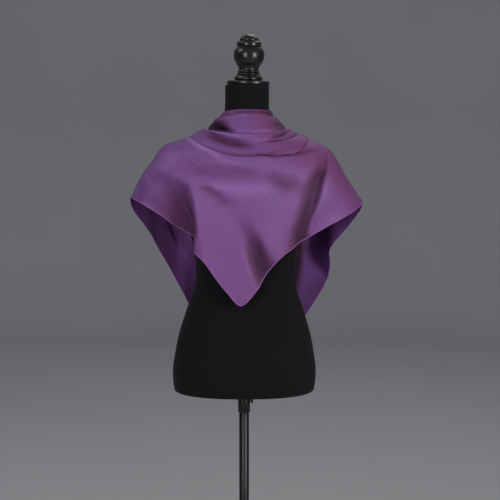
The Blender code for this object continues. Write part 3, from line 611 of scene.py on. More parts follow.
turned("collar_ring", straight(drum(COLLAR_RADIUS, top - COLLAR_HEIGHT, top, EDGE, bore) + [(bore, top)]),
       paint, "pole_collar")
turned("pole_tube", straight(drum(POLE_RADIUS, SOCKET_FLOOR + GAP, top, EDGE / 2)),
       paint, "pole")
turned("round_foot", straight([
    (0, SOCKET_FLOOR), (bore, SOCKET_FLOOR), (bore, HUB_HEIGHT), (HUB_RADIUS - EDGE, HUB_HEIGHT),
    (HUB_RADIUS, HUB_HEIGHT - EDGE), (HUB_RADIUS, BASE_RISE + EDGE)]) + [
    [(HUB_RADIUS, BASE_RISE + EDGE), (HUB_RADIUS + ROUNDED * EDGE, BASE_RISE + ROUNDED * EDGE),
     (HUB_RADIUS + EDGE, BASE_RISE)],
    [(HUB_RADIUS + EDGE, BASE_RISE), (BASE_RADIUS - BASE_EDGE, BASE_EDGE)],
    [(BASE_RADIUS - BASE_EDGE, BASE_EDGE), (BASE_RADIUS - ROUNDED * BASE_EDGE, BASE_EDGE * BASE_SHOULDER),
     (BASE_RADIUS, BASE_EDGE / 2)],
    [(BASE_RADIUS, BASE_EDGE / 2), (BASE_RADIUS, 0)],
    [(BASE_RADIUS, 0), (0, 0)]], paint, "base", steps=2 * TURN_STEPS)

knob_foot = (COLLAR_RADIUS + GAP, 0, torso_underside - KNOB_DROP)
thumb_knob = turned("thumb_screw_knob", straight(
    drum(KNOB_RADIUS, KNOB_REACH, KNOB_REACH + KNOB_THICKNESS, EDGE)[:-1]
    + [(KNOB_SHANK_RADIUS, KNOB_REACH), (KNOB_SHANK_RADIUS, 0), (0, 0)]),
    paint, "thumb_knob", steps=KNURLS * 4, foot=knob_foot, along_x=True)
for corner in thumb_knob.data.vertices:
    spoke = Vector((0, corner.co.y - knob_foot[1], corner.co.z - knob_foot[2]))
    if spoke.length > KNOB_RADIUS - KNURL_BAND:
        turn = np.arctan2(spoke.z, spoke.y)
        corner.co -= spoke.normalized() * KNURL_DEPTH * (1 + np.cos(KNURLS * turn)) / 2

# %% [markdown]
# ## How the scarf lies
# A simulation could drop a square on the form, but it would not fall into these folds.  So the drape is
# laid out as a dresser would describe it: rings round the neck and chest, stations counted from the front
# point round each side, and for each hanging end a few sections across it.  A curve through a station's
# points is one rib of the cloth.

# %% The rings
Ring = namedtuple("Ring", "name front left right back "
                          "up_front up_left up_right up_back "
                          "tuck_front tuck_left tuck_right tuck_back "
                          "stand_front stand_left stand_right stand_back")
RINGS = [
    Ring("folded edge", 0.0545, 0.0540, 0.0540, 0.0580, 0.6650, 0.6600, 0.6630, 0.6480,
         0, 0, 0, 0, 0, 0, 0, 0),
    Ring("collar fold", 0.0615, 0.0680, 0.0650, 0.0700, 0.6520, 0.6460, 0.6480, 0.6330,
         0.010, 0.005, 0.006, 0.001, 0.0045, 0.0040, 0.0040, 0),
    Ring("throat fold", 0.0870, 0.0960, 0.0940, 0.0840, 0.6090, 0.6200, 0.6220, 0.6130,
         0.018, 0.014, 0.008, 0.002, 0.0080, 0.0100, 0.0060, 0),
    Ring("right fold", 0.0965, 0.1165, 0.1210, 0.0920, 0.5840, 0.6090, 0.6080, 0.6020,
         0.001, 0.001, 0.011, 0.002, 0, 0, 0.0055, 0),
    Ring("breast fold", 0.1060, 0.1350, 0.1470, 0.1000, 0.5610, 0.6000, 0.5960, 0.5860,
         0.010, 0.006, 0.001, 0.002, 0.0045, 0.0012, 0, 0),
    Ring("yoke", 0.1140, 0.1885, 0.1840, 0.1120, 0.5280, 0.5835, 0.5780, 0.5550,
         0, 0, 0, 0, 0, 0, 0, 0),
    Ring("chest", 0.1180, 0.2410, 0.2330, 0.1180, 0.4850, 0.5140, 0.5070, 0.4700,
         0, 0, 0, 0, 0, 0, 0, 0),
]
RING_SQUARENESS = [2.0, 2.0, 2.0, 2.0, 2.1, 2.2, 2.3]
FOLDS = [1, 2, 3, 4]       # the rings that are rolled neck folds
TUCKS, STANDS = slice(9, 13), slice(13, 17)  # where a ring's row holds its folds' measures
print("rings:", ", ".join(ring.name for ring in RINGS))

# %% The stations and the ends
# The turns are degrees round the rings at the neck and at the chest, and x, y and up place the hem.
Station = namedtuple("Station", "name neck_turn chest_turn x y up")
TIP = Station("front point", 0, 0, -0.0080, -0.1180, 0.2260)
LEFT = [
    Station("beside the point", 10, 9, -0.0400, -0.1210, 0.2560),
    Station("under the breast", 22, 17, -0.0650, -0.1220, 0.2870),
    Station("ribs", 33, 25, -0.0900, -0.1180, 0.3220),
    Station("side of the ribs", 44, 34, -0.1170, -0.1040, 0.3490),
    Station("armpit", 55, 44, -0.1410, -0.0720, 0.3800),
    Station("upper arm front", 66, 55, -0.1880, -0.0680, 0.4200),
    Station("before the side point", 78, 68, -0.2290, -0.0550, 0.4470),
    Station("near the side point", 88, 80, -0.2520, -0.0330, 0.4580),
    Station("side point", 98, 91, -0.2670, -0.0020, 0.4620),
    Station("behind the side point", 109, 103, -0.2620, 0.0280, 0.4320),
    Station("upper arm back", 121, 117, -0.2260, 0.0640, 0.3760),
]
RIGHT = [
    Station("beside the point", 9, 7, 0.0290, -0.1190, 0.2640),
    Station("flute", 20, 14, 0.0580, -0.1120, 0.3090),
    Station("ribs", 31, 22, 0.0840, -0.1080, 0.3370),
    Station("side of the ribs", 42, 31, 0.1150, -0.1060, 0.3590),
    Station("armpit", 54, 42, 0.1520, -0.0820, 0.3830),
    Station("upper arm front", 66, 54, 0.1880, -0.0710, 0.4030),
    Station("before the side point", 78, 67, 0.2300, -0.0500, 0.4240),
    Station("near the side point", 88, 80, 0.2590, -0.0220, 0.4420),
    Station("side point", 98, 91, 0.2700, 0.0020, 0.4520),
    Station("behind the side point", 108, 102, 0.2640, 0.0260, 0.4280),
    Station("upper arm back", 120, 115, 0.2340, 0.0520, 0.3840),
]
EndSection = namedtuple("EndSection", "edge_x edge_y edge_up blade_x blade_y blade_up "
                                      "side_x side_y side_up hem_x hem_y hem_up")
LEFT_END = [
    EndSection(-0.054, 0.064, 0.628, -0.146, 0.087, 0.541, -0.193, 0.084, 0.462, -0.212, 0.080, 0.346),
    EndSection(-0.058, 0.095, 0.575, -0.126, 0.107, 0.497, -0.166, 0.104, 0.412, -0.184, 0.101, 0.294),
    EndSection(-0.060, 0.114, 0.505, -0.110, 0.119, 0.432, -0.143, 0.119, 0.352, -0.161, 0.115, 0.245),
    EndSection(-0.062, 0.125, 0.405, -0.097, 0.129, 0.345, -0.122, 0.130, 0.279, -0.138, 0.126, 0.200),
    EndSection(-0.065, 0.132, 0.285, -0.083, 0.135, 0.246, -0.096, 0.136, 0.203, -0.107, 0.133, 0.149),
    EndSection(-0.074, 0.135, 0.116, -0.075, 0.135, 0.110, -0.076, 0.135, 0.104, -0.077, 0.135, 0.098),
]
RIGHT_END = [
    EndSection(0.054, 0.064, 0.628, 0.146, 0.087, 0.541, 0.186, 0.085, 0.462, 0.205, 0.070, 0.345),
    EndSection(0.057, 0.094, 0.578, 0.132, 0.109, 0.502, 0.176, 0.113, 0.425, 0.205, 0.094, 0.312),
    EndSection(0.060, 0.113, 0.512, 0.124, 0.123, 0.448, 0.171, 0.128, 0.378, 0.198, 0.114, 0.280),
    EndSection(0.062, 0.124, 0.422, 0.116, 0.132, 0.368, 0.158, 0.136, 0.306, 0.188, 0.128, 0.240),
    EndSection(0.066, 0.132, 0.310, 0.100, 0.137, 0.268, 0.126, 0.139, 0.220, 0.144, 0.136, 0.166),
    EndSection(0.084, 0.136, 0.104, 0.085, 0.136, 0.097, 0.086, 0.136, 0.091, 0.087, 0.136, 0.085),
]
END_FOLD_SHARES = [0.10, 0.30, 0.47, 0.66]   # where the neck folds lie between an end's edge and blade
END_BULGE = (0.0, 0.005, 0.008)              # how far an end arches over the top of the shoulder blade
print("stations:", len(LEFT) + 1 + len(RIGHT), "round the front,", len(LEFT_END), "down each end")

# %% From the tables to ribs
def oval(ring, squareness, turns):
    """Points of a ring at some turns: negative turns go round the left side."""
    side = np.where(turns < 0, ring.left, ring.right)
    up_side = np.where(turns < 0, ring.up_left, ring.up_right)
    angle = np.radians(np.abs(turns))
    sine, cosine = np.sin(angle), np.cos(angle)
    front = cosine > 0
    depth = np.where(front, -ring.front, ring.back)
    up_end = np.where(front, ring.up_front, ring.up_back)
    power = 2 / squareness
    return np.stack([np.sign(turns) * side * sine**power, depth * np.abs(cosine) ** power,
                     up_side * sine**2 + up_end * cosine**2], axis=-1)


def around_ring(turn, front, left, right, back):
    """A measure that changes softly round a ring, at one turn."""
    side, end = (left if turn < 0 else right), (front if abs(turn) < 90 else back)
    sine = np.sin(np.radians(turn))
    return side * sine**2 + end * (1 - sine**2)


def station_ribs():
    """Each station's points on the rings and its hem point, and its folds' tucks and stands."""
    front = [(-1, s) for s in reversed(LEFT)] + [(1, TIP)] + [(1, s) for s in RIGHT]
    places, ribs, tucks, stands = [], [], [], []
    for index, (sign, station) in enumerate(front):
        turns = sign * np.linspace(station.neck_turn, station.chest_turn, len(RINGS))
        rib = [oval(ring, square, turn) for ring, square, turn in zip(RINGS, RING_SQUARENESS, turns)]
        places.append(index - len(LEFT))
        ribs.append(rib + [np.array([station.x, station.y, station.up])])
        tucks.append([around_ring(turns[fold], *RINGS[fold][TUCKS]) for fold in FOLDS])
        stands.append([around_ring(turns[fold], *RINGS[fold][STANDS]) for fold in FOLDS])
    for sign, sections in ((-1, LEFT_END), (1, RIGHT_END)):
        for index, row in enumerate(sections):
            edge, blade = np.array(row[0:3]), np.array(row[3:6])
            fade = 1 - (index + 1) / len(sections)
            arch = 4 * fade**2 * np.array(END_BULGE)
            between = [edge + (blade - edge) * share + arch * share * (1 - share)
                       for share in END_FOLD_SHARES]
            places.append(sign * (len(LEFT) + 1 + index))
            ribs.append([edge] + between + [blade, np.array(row[6:9]), np.array(row[9:12])])
            tucks.append([RINGS[fold].tuck_back * fade for fold in FOLDS])
            stands.append([0.0] * len(FOLDS))
    order = np.argsort(places)
    return tuple(np.array(values)[order] for values in (places, ribs, tucks, stands))


places, ribs, tucks, stands = station_ribs()
print("ribs:", len(ribs), "of", ribs.shape[1], "points each")

# %% [markdown]
# ## The neck folds
# A cowl fold is cloth that goes down behind, turns, comes back up and rolls over a lip.  Each row of the
# fold table is one line of that path: how far down the rib it lies, as a share of the tuck, and how far
# it stands out, as a share of the fold's stand.  Where a fold has little cloth in it, it opens out flat.
# A nudge moves a lip a little at one station, because no real fold follows an even ring.

# %% The rows and nudges of the neck folds
FLAT_FOLD, FLAT_SHARE = 0.012, 0.75
OPEN_STAND = 0.0040        # a fold that stands out less than this opens out
OPEN_STATIONS = 1.5        # and all of them open out over this many stations before the ends
LIP_FADE = 0.032           # how soon the cloth below a fold comes back to the rib

FoldRow = namedtuple("FoldRow", "name tucked flat out")
FOLD_ROWS = [
    FoldRow("turning in", -0.45, -0.80, -0.12),
    FoldRow("going in", 0.22, -0.55, -0.95),
    FoldRow("bottom", 1.00, -0.25, -0.62),
    FoldRow("behind the lip", 0.20, 0.05, -0.12),
    FoldRow("lip", 0.00, 0.28, 0.18),
    FoldRow("over the lip", 0.28, 0.50, 0.34),
]
Nudge = namedtuple("Nudge", "fold station half_width down stand")
NUDGES = [                 # places where a fold's lip wanders from its ring, or stands out more
    Nudge(4, 4.8, 2.2, 0.0175, 0.0),
    Nudge(4, -1.0, 3.0, 0.0035, 0.1),
    Nudge(2, -4.2, 2.0, 0.0010, 1.4),
    Nudge(2, 5.6, 1.2, 0.0020, 0.2),
    Nudge(1, -0.8, 0.9, -0.0015, 0.1),
    Nudge(1, 4.2, 1.0, 0.0020, -0.2),
]
print("neck folds:", len(FOLDS), "of", len(FOLD_ROWS), "rows each, with", len(NUDGES), "nudges")

# %% [markdown]
# ## Steps, creases and pleats
# Below the neck the cloth hangs over the breasts and arms in three steps: it falls back on one side of a
# line, then comes forward again over a short rise.  A step is such a line down the cloth, with the two
# slopes beside it.  A crease is softer: one trough or ridge that swings a little on its way to the hem.
# The hanging ends have even pleats.  Stations count from the front point, and rings from the folded edge.

# %% The steps, creases and pleats
# Start is how soon a step grows, fall and rise are its slopes in stations, the share is what is left of its
# depth at the hem, the crest is how far the cloth in front stands out, and dark is the shade painted beside
# it.
Step = namedtuple("Step", "name line start fall rise_top rise_hem depth hem_share crest dark")
STEPS = [                  # each line is a few (station, ring) places, from its start to the hem
    Step("left arm", [(-3.7, 5.6), (-3.2, 5.95), (-2.75, 6.2), (-2.7, 6.38), (-3.0, 6.6), (-3.6, 6.85),
                      (-3.8, 7.0)], 1.4, 3.2, 1.7, 0.6, 0.0340, 0.6, 0.0020, 0.80),
    Step("flute right of the point", [(0.1, 6.12), (0.5, 6.31), (1.0, 6.47), (2.4, 6.92), (2.7, 7.0)],
         1.6, 0.50, 0.30, 1.30, 0.0130, 0.6, 0.0010, 1.05),
    Step("right arm", [(7.4, 5.05), (6.2, 5.55), (5.4, 6.0), (4.95, 6.45), (4.8, 6.9), (4.9, 7.0)],
         3.0, 1.5, 0.45, 0.50, 0.0080, 0.6, 0.0010, 1.10),
]
CREST_WIDTH = 0.9          # stations over which the cloth in front of a step settles back
# dark is the shade painted in a crease
Crease = namedtuple("Crease", "name station start swing half_width depth dark")
CREASES = [
    Crease("trough before the right arm", 3.5, 5.7, 0.6, 0.90, -0.0030, 0.1),
    Crease("left end pleat", -14.5, 4.5, 0.0, 0.85, -0.0090, 0),
    Crease("right end pleat", 12.8, 4.5, 0.0, 0.75, -0.0050, 0),
    Crease("right end lobe", 14.2, 4.5, 0.0, 0.85, 0.0060, 0),
]
CREASE_TOP_WIDTH, CREASE_DEEPENING = 0.35, 0.8
END_PLEATS, END_PLEAT_DEPTH = 1.5, 0.0090
END_PLEAT_START, END_PLEAT_STOP, END_PLEAT_FADE = 2.0, 3.5, 1.5
DARK_AHEAD = 1.1           # how far the painted shade beside a step reaches over its fall, as a share of it
print("steps:", len(STEPS), "creases:", len(CREASES))

# %% [markdown]
# ## Presses
# A dresser shapes the last soft dents and ridges with a finger.  A press runs across the ribs from one
# place to another, and is measured over the cloth itself, so it keeps its width where the ribs spread.
# Their dark value is painted shade on the silk, or a painted highlight where it is below 0; some have no
# depth and only paint that shade or highlight.

# %% The presses
Press = namedtuple("Press", "name from_station from_ring to_station to_ring half_width depth dark")
PRESSES = [                # soft dents and ridges across the ribs, their half width and depth in metres, and their painted shade
    Press("front of the collar band", -8.0, 0.50, 8.0, 0.50, 0.0080, -0.0015, 0.70),
    Press("lit lip of the collar roll", -7.0, 0.95, 6.5, 0.95, 0.0022, 0.0, -0.60),
    Press("left of the collar roll", -8.0, 1.42, -2.6, 1.36, 0.0090, -0.0020, 0.75),
    Press("right of the collar roll", 4.4, 1.60, 9.0, 1.70, 0.0100, -0.0020, 0.90),
    Press("right end of the collar band", 4.0, 0.50, 9.0, 0.50, 0.0080, 0.0, 0.45),
    Press("hollow over the throat fold", -7.2, 1.66, -2.4, 1.86, 0.0110, -0.0140, 1.0),
    Press("shade in the throat hollow", -10.5, 1.72, -3.4, 1.84, 0.0130, -0.0020, 1.4),
    Press("lit lip of the throat fold", -8.0, 2.12, 0.8, 2.16, 0.0028, 0.0, -0.60),
    Press("valley under the throat fold", -5.8, 2.58, 0.8, 2.95, 0.0100, -0.0080, 1.05),
    Press("hollow above the right crease", 3.4, 2.55, 6.4, 2.45, 0.0060, -0.0030, 0.80),
    Press("right crease", 2.4, 2.72, 6.4, 3.15, 0.0035, -0.0020, 0.70),
    Press("shade in the breast fold", -4.6, 3.98, 3.6, 3.98, 0.0045, 0.0, 0.65),
    Press("shade under the right of that fold", 1.2, 3.96, 5.4, 4.50, 0.0040, 0.0, 0.90),
    Press("shade where that fold runs out", 4.8, 4.47, 7.0, 3.97, 0.0035, 0.0, 0.40),
    Press("crease over the right breast", 2.0, 4.15, 6.6, 4.80, 0.0035, -0.0010, 0.45),
    Press("lit ridge from the left shoulder", -8.4, 4.04, -2.4, 4.12, 0.0050, 0.0015, -1.10),
    Press("lit ridge under the breast fold", -4.2, 4.12, -0.2, 4.62, 0.0045, 0.0010, -0.40),
    Press("straight run over the left arm", -11.0, 5.50, -6.0, 5.50, 0.0240, -0.0040, 0.0),
    Press("valley above the left breast", -4.2, 5.08, 1.2, 5.34, 0.0180, -0.0060, 0.55),
    Press("band over the breasts", -3.6, 5.72, 0.8, 6.02, 0.0180, 0.0040, 0.0),
    Press("lit silk between the breasts", -2.8, 5.55, 1.8, 5.98, 0.0200, 0.0, -0.60),
    Press("silk on the left breast", -2.7, 5.94, -0.6, 6.12, 0.0110, -0.0015, 0.85),
    Press("silk on the right breast", 1.6, 5.62, 3.9, 5.84, 0.0240, -0.0015, 0.70),
    Press("shade in the fold of the left end", -13.5, 6.35, -12.5, 6.30, 0.0060, 0.0, 1.40),
    Press("lit edge of that fold", -15.0, 6.02, -13.2, 6.44, 0.0055, 0.0, -0.55),
    Press("lit inside of the left end", -15.5, 6.45, -10.5, 6.75, 0.0400, 0.0, -0.22),
    Press("shade between the ribs and the right end", 14.2, 4.98, 16.8, 5.96, 0.0205, 0.0, 1.40),
    Press("lit inside of the right end", 12.9, 7.00, 15.2, 6.30, 0.0220, 0.0, -0.80),
]
print("presses:", len(PRESSES), "and", sum(press.depth == 0 for press in PRESSES), "only shade or light")

# %% How far steps and creases move the cloth
def directions(grid, axis):
    """The way the grid runs at each point: halfway between the lines before and after it."""
    lines = np.moveaxis(unit(np.diff(grid, axis=axis)), axis, 0)
    both = np.concatenate([lines[:1], lines[:-1] + lines[1:], lines[-1:]])
    return np.moveaxis(unit(both), 0, axis)


def normals_of(grid):
    """Unit normals of a grid of points, pointing away from the form."""
    return unit(np.cross(directions(grid, 0), directions(grid, 1)))


def crease_depth(places, ring_at):
    """How far the creases move the cloth, at each row and column, and the shade painted in their hollows.
    """
    depth, dark = np.zeros_like(ring_at), np.zeros_like(ring_at)
    for crease in CREASES:
        run = np.clip((ring_at - crease.start) / (len(RINGS) - crease.start), 0, 1)
        centre = crease.station + crease.swing * run
        half = crease.half_width * (CREASE_TOP_WIDTH + (1 - CREASE_TOP_WIDTH) * run)
        near = run**CREASE_DEEPENING * np.exp(-(((places[None, :] - centre) / half) ** 2))
        depth += crease.depth * near
        dark += crease.dark * near
    return depth, dark


def smooth(share):
    share = np.clip(share, 0, 1)
    return share * share * (3 - 2 * share)


def step_depth(places, ring_at):
    """How far the hanging steps move the cloth, and the shade painted in their hollows."""
    depth, dark = np.zeros_like(ring_at), np.zeros_like(ring_at)
    for step in STEPS:
        stations, rings = np.array(step.line).T
        run = np.clip((ring_at - rings[0]) / (rings[-1] - rings[0]), 0, 1)
        line = curve_through(rings, stations, np.clip(ring_at, rings[0], rings[-1]))
        grown = smooth(run * step.start)
        rise = step.rise_top + (step.rise_hem - step.rise_top) * run
        beside = places[None, :] - line
        falling = smooth((beside + rise + step.fall) / step.fall)
        rising = 1 - smooth((beside + rise) / rise)
        crest = np.where(beside < 0, smooth((beside + rise) / rise),
                         np.exp(-((beside / CREST_WIDTH) ** 2)))
        fall_in = step.depth * (1 - (1 - step.hem_share) * smooth(run * 2 - 1))
        depth += grown * (step.crest * crest - fall_in * falling * rising)
        # painted shade on the rise beside the step
        dark += (step.dark * grown * smooth((beside + rise) / step.fall + DARK_AHEAD)
                 * (1 - smooth((beside + rise / 2) * 2 / rise)))
    return depth, dark


print("the deepest step goes in by", max(step.depth for step in STEPS), "m")

# %% [markdown]
# ## Keep clear of the torso
# Silk rests on the form and never cuts into it.  Testing against the torso's mesh would be slow, but its
# sections are superellipses, so one formula says how far inside or outside a point is.  Its slope points
# straight out, and points that are too near are moved that way, a little at a time.

# %% Ease points off the torso
CLEARANCE = 0.0012         # from the torso to the middle of the cloth, where it rests
EASE_ROUNDS, EASE_MOST, EASE_PROBE, EASE_LEAST_SLOPE = 6, 0.0100, 0.0005, 1e-6


def torso_level(points):
    """1 on the torso's surface, less inside it and more outside."""
    width, front, depth_back, square = (np.interp(points[..., 2], FINE_TORSO[:, 0], FINE_TORSO[:, i])
                                        for i in (1, 2, 3, 4))
    depth = np.where(points[..., 1] < 0, front, depth_back)
    sides = np.abs(points[..., 0] / width) ** square + np.abs(points[..., 1] / depth) ** square
    return sides ** (1 / square)


def off_torso(points):
    """How far points are from the torso, and which way is straight out of it."""
    step = EASE_PROBE
    slope = np.stack([(torso_level(points + step * axis) - torso_level(points - step * axis)) / (2 * step)
                      for axis in np.eye(3)], axis=-1)
    size = np.maximum(np.linalg.norm(slope, axis=-1), EASE_LEAST_SLOPE)
    return (torso_level(points) - 1) / size, slope / size[..., None]


def clear_of_torso(points):
    """Move points that are too near the torso straight out of it."""
    points = points.copy()
    for _ in range(EASE_ROUNDS):
        gap, away = off_torso(points)
        short = np.where(points[..., 2] < TORSO[-1].up, np.clip(CLEARANCE - gap, 0, EASE_MOST), 0)
        points += away * short[..., None]
    return points


print("ribs' nearest point:", round(float(off_torso(ribs)[0].min()) * 1000, 1), "mm from the torso")

# %% [markdown]
# ## The surface of the cloth
# Everything above comes together in one grid of points.  Every rib is measured along its length, the rows
# of the folds are laid down it, and each point is moved out along the rib's own normal.  Rows run round
# the form and columns down it, and smooth curves between the first few rows give the finer ones.

# %% Lay the rows down the ribs
COLUMNS_BETWEEN = 9        # fine columns from one station to the next
ROWS_BELOW = 4             # rows from one ring to the next, below the neck folds
FINE_ROWS = 4              # and then fine rows to each of the rows
RIB_SAMPLES = 400


def lip_left(below):
    """The share of a lip's stand that is left some way below it."""
    return np.exp(-((below / LIP_FADE) ** 2))


def fold_lines(places, ring_length, tucks, stands):
    """How far down each rib the rows lie, and how far they stand out."""
    down, out = [ring_length[0]], [np.zeros(ring_length.shape[1])]
    for number, fold in enumerate(FOLDS):
        stand = stands[:, number]
        amount = (tucks[:, number] * smooth(stand / OPEN_STAND)
                  * smooth((len(LEFT) - 1 - np.abs(places)) / OPEN_STATIONS))
        full = max(RINGS[fold].tuck_front, RINGS[fold].tuck_left, RINGS[fold].tuck_right)
        share = np.clip(amount / full, 0, 1)
        room = np.minimum(ring_length[fold] - ring_length[fold - 1],
                          ring_length[fold + 1] - ring_length[fold])
        flat = np.minimum(FLAT_FOLD, room * FLAT_SHARE) * (1 - share)
        middle = ring_length[fold].copy()
        for nudge in NUDGES:
            if nudge.fold == fold:
                near = np.exp(-(((places - nudge.station) / nudge.half_width) ** 2))
                middle += nudge.down * near
                stand = stand * (1 + nudge.stand * near)
        above_down, above_out = down[-1], out[-1]
        for row in FOLD_ROWS:
            down.append(middle + row.tucked * np.minimum(amount, room) + row.flat * flat)
            out.append(row.out * stand + above_out * lip_left(down[-1] - above_down))
    per_fold = len(FOLD_ROWS)
    for first in reversed([1 + per_fold * number for number in range(len(FOLDS))]):
        halfway = (down[first - 1] + down[first]) / 2
        out.insert(first, out[first - 1] * lip_left(halfway - down[first - 1]))
        down.insert(first, halfway)
    last_fold, lip = down[-1], out[-1]
    for ring in range(FOLDS[-1] + 1, len(RINGS) + 1):
        start = last_fold if ring == FOLDS[-1] + 1 else ring_length[ring - 1]
        for step in range(1, ROWS_BELOW + 1):
            down.append(start + (ring_length[ring] - start) * step / ROWS_BELOW)
            out.append(lip * lip_left(down[-1] - last_fold))
    return np.array(down), np.array(out)


def scarf_surface():
    """The cloth's columns in stations, its rows in rings, its points, and the shade painted in its hollows.
    """
    columns = np.linspace(places[0], places[-1], (len(places) - 1) * COLUMNS_BETWEEN + 1)
    fine_tucks, fine_stands = (np.maximum(curve_through(places, values, columns), 0)
                               for values in (tucks, stands))
    base, length_at, ring_length = [], [], []
    for rib in curve_through(places, ribs, columns):
        chord = run_lengths(rib, 0)
        line = curve_through(chord, rib, np.linspace(0, chord[-1], RIB_SAMPLES))
        length = run_lengths(line, 0)
        base.append(line)
        length_at.append(length)
        ring_length.append(np.interp(chord / chord[-1] * (RIB_SAMPLES - 1), np.arange(RIB_SAMPLES), length))
    base = np.stack(base, axis=1)
    base_normal = normals_of(base)
    length_at, ring_length = np.stack(length_at, axis=1), np.array(ring_length).T

    down, out = fold_lines(columns, ring_length, fine_tucks, fine_stands)
    fine = np.linspace(0, len(down) - 1, (len(down) - 1) * FINE_ROWS + 1)
    down, out = (curve_through(np.arange(len(down)), lines, fine) for lines in (down, out))
    down = np.clip(down, 0, length_at[-1])

    ring_at = np.stack([np.interp(down[:, i], ring_length[:, i], np.arange(len(RINGS) + 1))
                        for i in range(len(columns))], axis=1)
    (creases, in_creases), (steps, in_steps) = crease_depth(columns, ring_at), step_depth(columns, ring_at)
    # the painted shade of creases and steps together
    out, dark = out + creases + steps, in_creases + in_steps
    to_end = (np.clip((np.abs(columns) - len(LEFT)) / END_PLEAT_START, 0, 1)
              * np.clip((places[-1] - np.abs(columns)) / END_PLEAT_STOP, 0, 1) ** END_PLEAT_FADE)
    out = out + END_PLEAT_DEPTH * to_end[None, :] * np.sin(2 * np.pi * END_PLEATS * ring_at / len(RINGS))

    grid = np.empty(down.shape + (3,))
    samples = np.arange(RIB_SAMPLES)
    for i in range(len(columns)):
        where = np.interp(down[:, i], length_at[:, i], samples)
        for axis in range(3):
            point = np.interp(where, samples, base[:, i, axis])
            normal = np.interp(where, samples, base_normal[:, i, axis])
            grid[:, i, axis] = point + out[:, i] * normal
    return columns, ring_at, grid, dark


# the last value is the shade painted by the steps and creases
columns, ring_at, cloth, painted_shade_and_highlight = scarf_surface()
print("cloth grid:", cloth.shape[0], "rows,", cloth.shape[1], "columns")

# %% [markdown]
# ## Finger marks and puckers
# The presses are laid over the grid last, because they are measured on it.  The stitches of a rolled hem
# draw its edge in unevenly, so small waves run along the hem and die away a little above it.  Their pitch
# and height wander, which keeps them from looking like a frill.  Then the cloth is eased off the torso.

# %% Press and pucker the cloth
PAINTED_SHADE_LIMITS = (-0.8, 1.4)            # below 0 the silk is painted lighter as a highlight, above it painted darker as shade
PUCKER_DEPTH, PUCKER_REACH = 0.0008, 0.014
PUCKER_PITCH, PUCKER_SWING, PUCKER_GROUP = 0.017, 0.060, 0.047
PUCKER_WANDER = 2.0        # how far the waves move along the hem, in radians


def puckered(grid):
    """The grid with small uneven waves along its cut edge, where the stitches draw it in."""
    turn = 2 * np.pi * run_lengths(grid[-1:], 1)
    from_hem = run_lengths(grid[::-1], 0)[::-1]
    wave = np.sin(turn / PUCKER_PITCH + PUCKER_WANDER * np.sin(turn / PUCKER_SWING))
    wave = PUCKER_DEPTH * wave * np.sin(turn / PUCKER_GROUP) * np.exp(-(from_hem / PUCKER_REACH) ** 2)
    return grid + normals_of(grid) * wave[..., None]


def at_ring(ring_at, down, ring):
    """How far down a rib the last place at a ring lies."""
    row = min(np.nonzero(ring_at <= ring)[0][-1], len(down) - 2)
    return np.interp(ring, ring_at[row:row + 2], down[row:row + 2])


def pressed(grid, places, ring_at, dark):
    """The grid with its soft dents and ridges, measured over the cloth itself, and its painted shade and
    highlights.
    """
    normal, down = normals_of(grid), run_lengths(grid, 0)
    moved, dark = np.zeros_like(ring_at), dark.copy()
    for press in PRESSES:
        half = (press.to_station - press.from_station) / 2
        fade = np.exp(-np.abs((places - press.from_station) / half - 1) ** 3)
        rings = np.interp(places, (press.from_station, press.to_station), (press.from_ring, press.to_ring))
        middle = [at_ring(ring_at[:, i], down[:, i], ring) for i, ring in enumerate(rings)]
        near = fade * np.exp(-(((down - middle) / press.half_width) ** 2))
        moved += press.depth * near
        # painted shade, or a painted highlight where the value is below 0
        dark += press.dark * near
    return grid + normal * moved[..., None], np.clip(dark, *PAINTED_SHADE_LIMITS)


# the presses add their painted shade and highlight, kept within limits
cloth, painted_shade_and_highlight = pressed(cloth, columns, ring_at, painted_shade_and_highlight)
cloth = clear_of_torso(puckered(cloth))
print("hollow runs from", round(float(painted_shade_and_highlight.min()), 2), "to", round(float(painted_shade_and_highlight.max()), 2))

# %% [markdown]
# ## A thin closed shell
# Silk is a tenth of a millimetre thick, and the folded square is two layers of it.  The grid becomes a
# closed shell under a millimetre thick, with an outer and an inner skin joined round the edge, so that
# both faces shade rightly and the edge shows as a line.  The cloth map gives each point its run along the
# fold and down from it, in metres.

# %% Make the silk square
CLOTH = 0.0009             # the shell's thickness

cloth = in_place(cloth)
normals = normals_of(cloth)
rows_count, columns_count = cloth.shape[:2]
along_fold = run_lengths(cloth, 1)
along_fold -= along_fold[:, columns_count // 2][:, None]
down_fold = run_lengths(cloth, 0)


def closed_shell(grid, normal, thickness):
    """Points and faces of a shell over a grid, with its rim."""
    rows, cols = grid.shape[:2]
    points = np.concatenate([(grid + side * thickness / 2 * normal).reshape(-1, 3) for side in (1, -1)])
    skin = rows * cols
    faces = [grid_faces(rows, cols), grid_faces(rows, cols, first=skin, flip=True)]
    rim = ([c for c in range(cols)] + [r * cols + cols - 1 for r in range(1, rows)]
           + [(rows - 1) * cols + c for c in range(cols - 2, -1, -1)]
           + [r * cols for r in range(rows - 2, 0, -1)])
    rim = np.array(rim)
    onward = np.roll(rim, -1)
    faces.append(np.stack([rim, onward, onward + skin, rim + skin], axis=-1))
    return points, np.concatenate(faces)


shell_points, shell_faces = closed_shell(cloth, normals, CLOTH)
shell_map = np.tile(np.stack([along_fold, down_fold], axis=-1).reshape(-1, 2), (2, 1))
silk_square = add_piece("silk_square", shell_points, shell_faces, silk,
                        ["scarf_neck_folds", "scarf_front", "scarf_left_end", "scarf_right_end"],
                        shell_map)
# the mesh carries the painted shade and highlight for the silk's colour
painted_shade_layer = silk_square.data.attributes.new("painted_shade_and_highlight", "FLOAT", "POINT")
painted_shade_layer.data.foreach_set("value", np.tile(painted_shade_and_highlight.ravel(), 2).astype(np.float32))

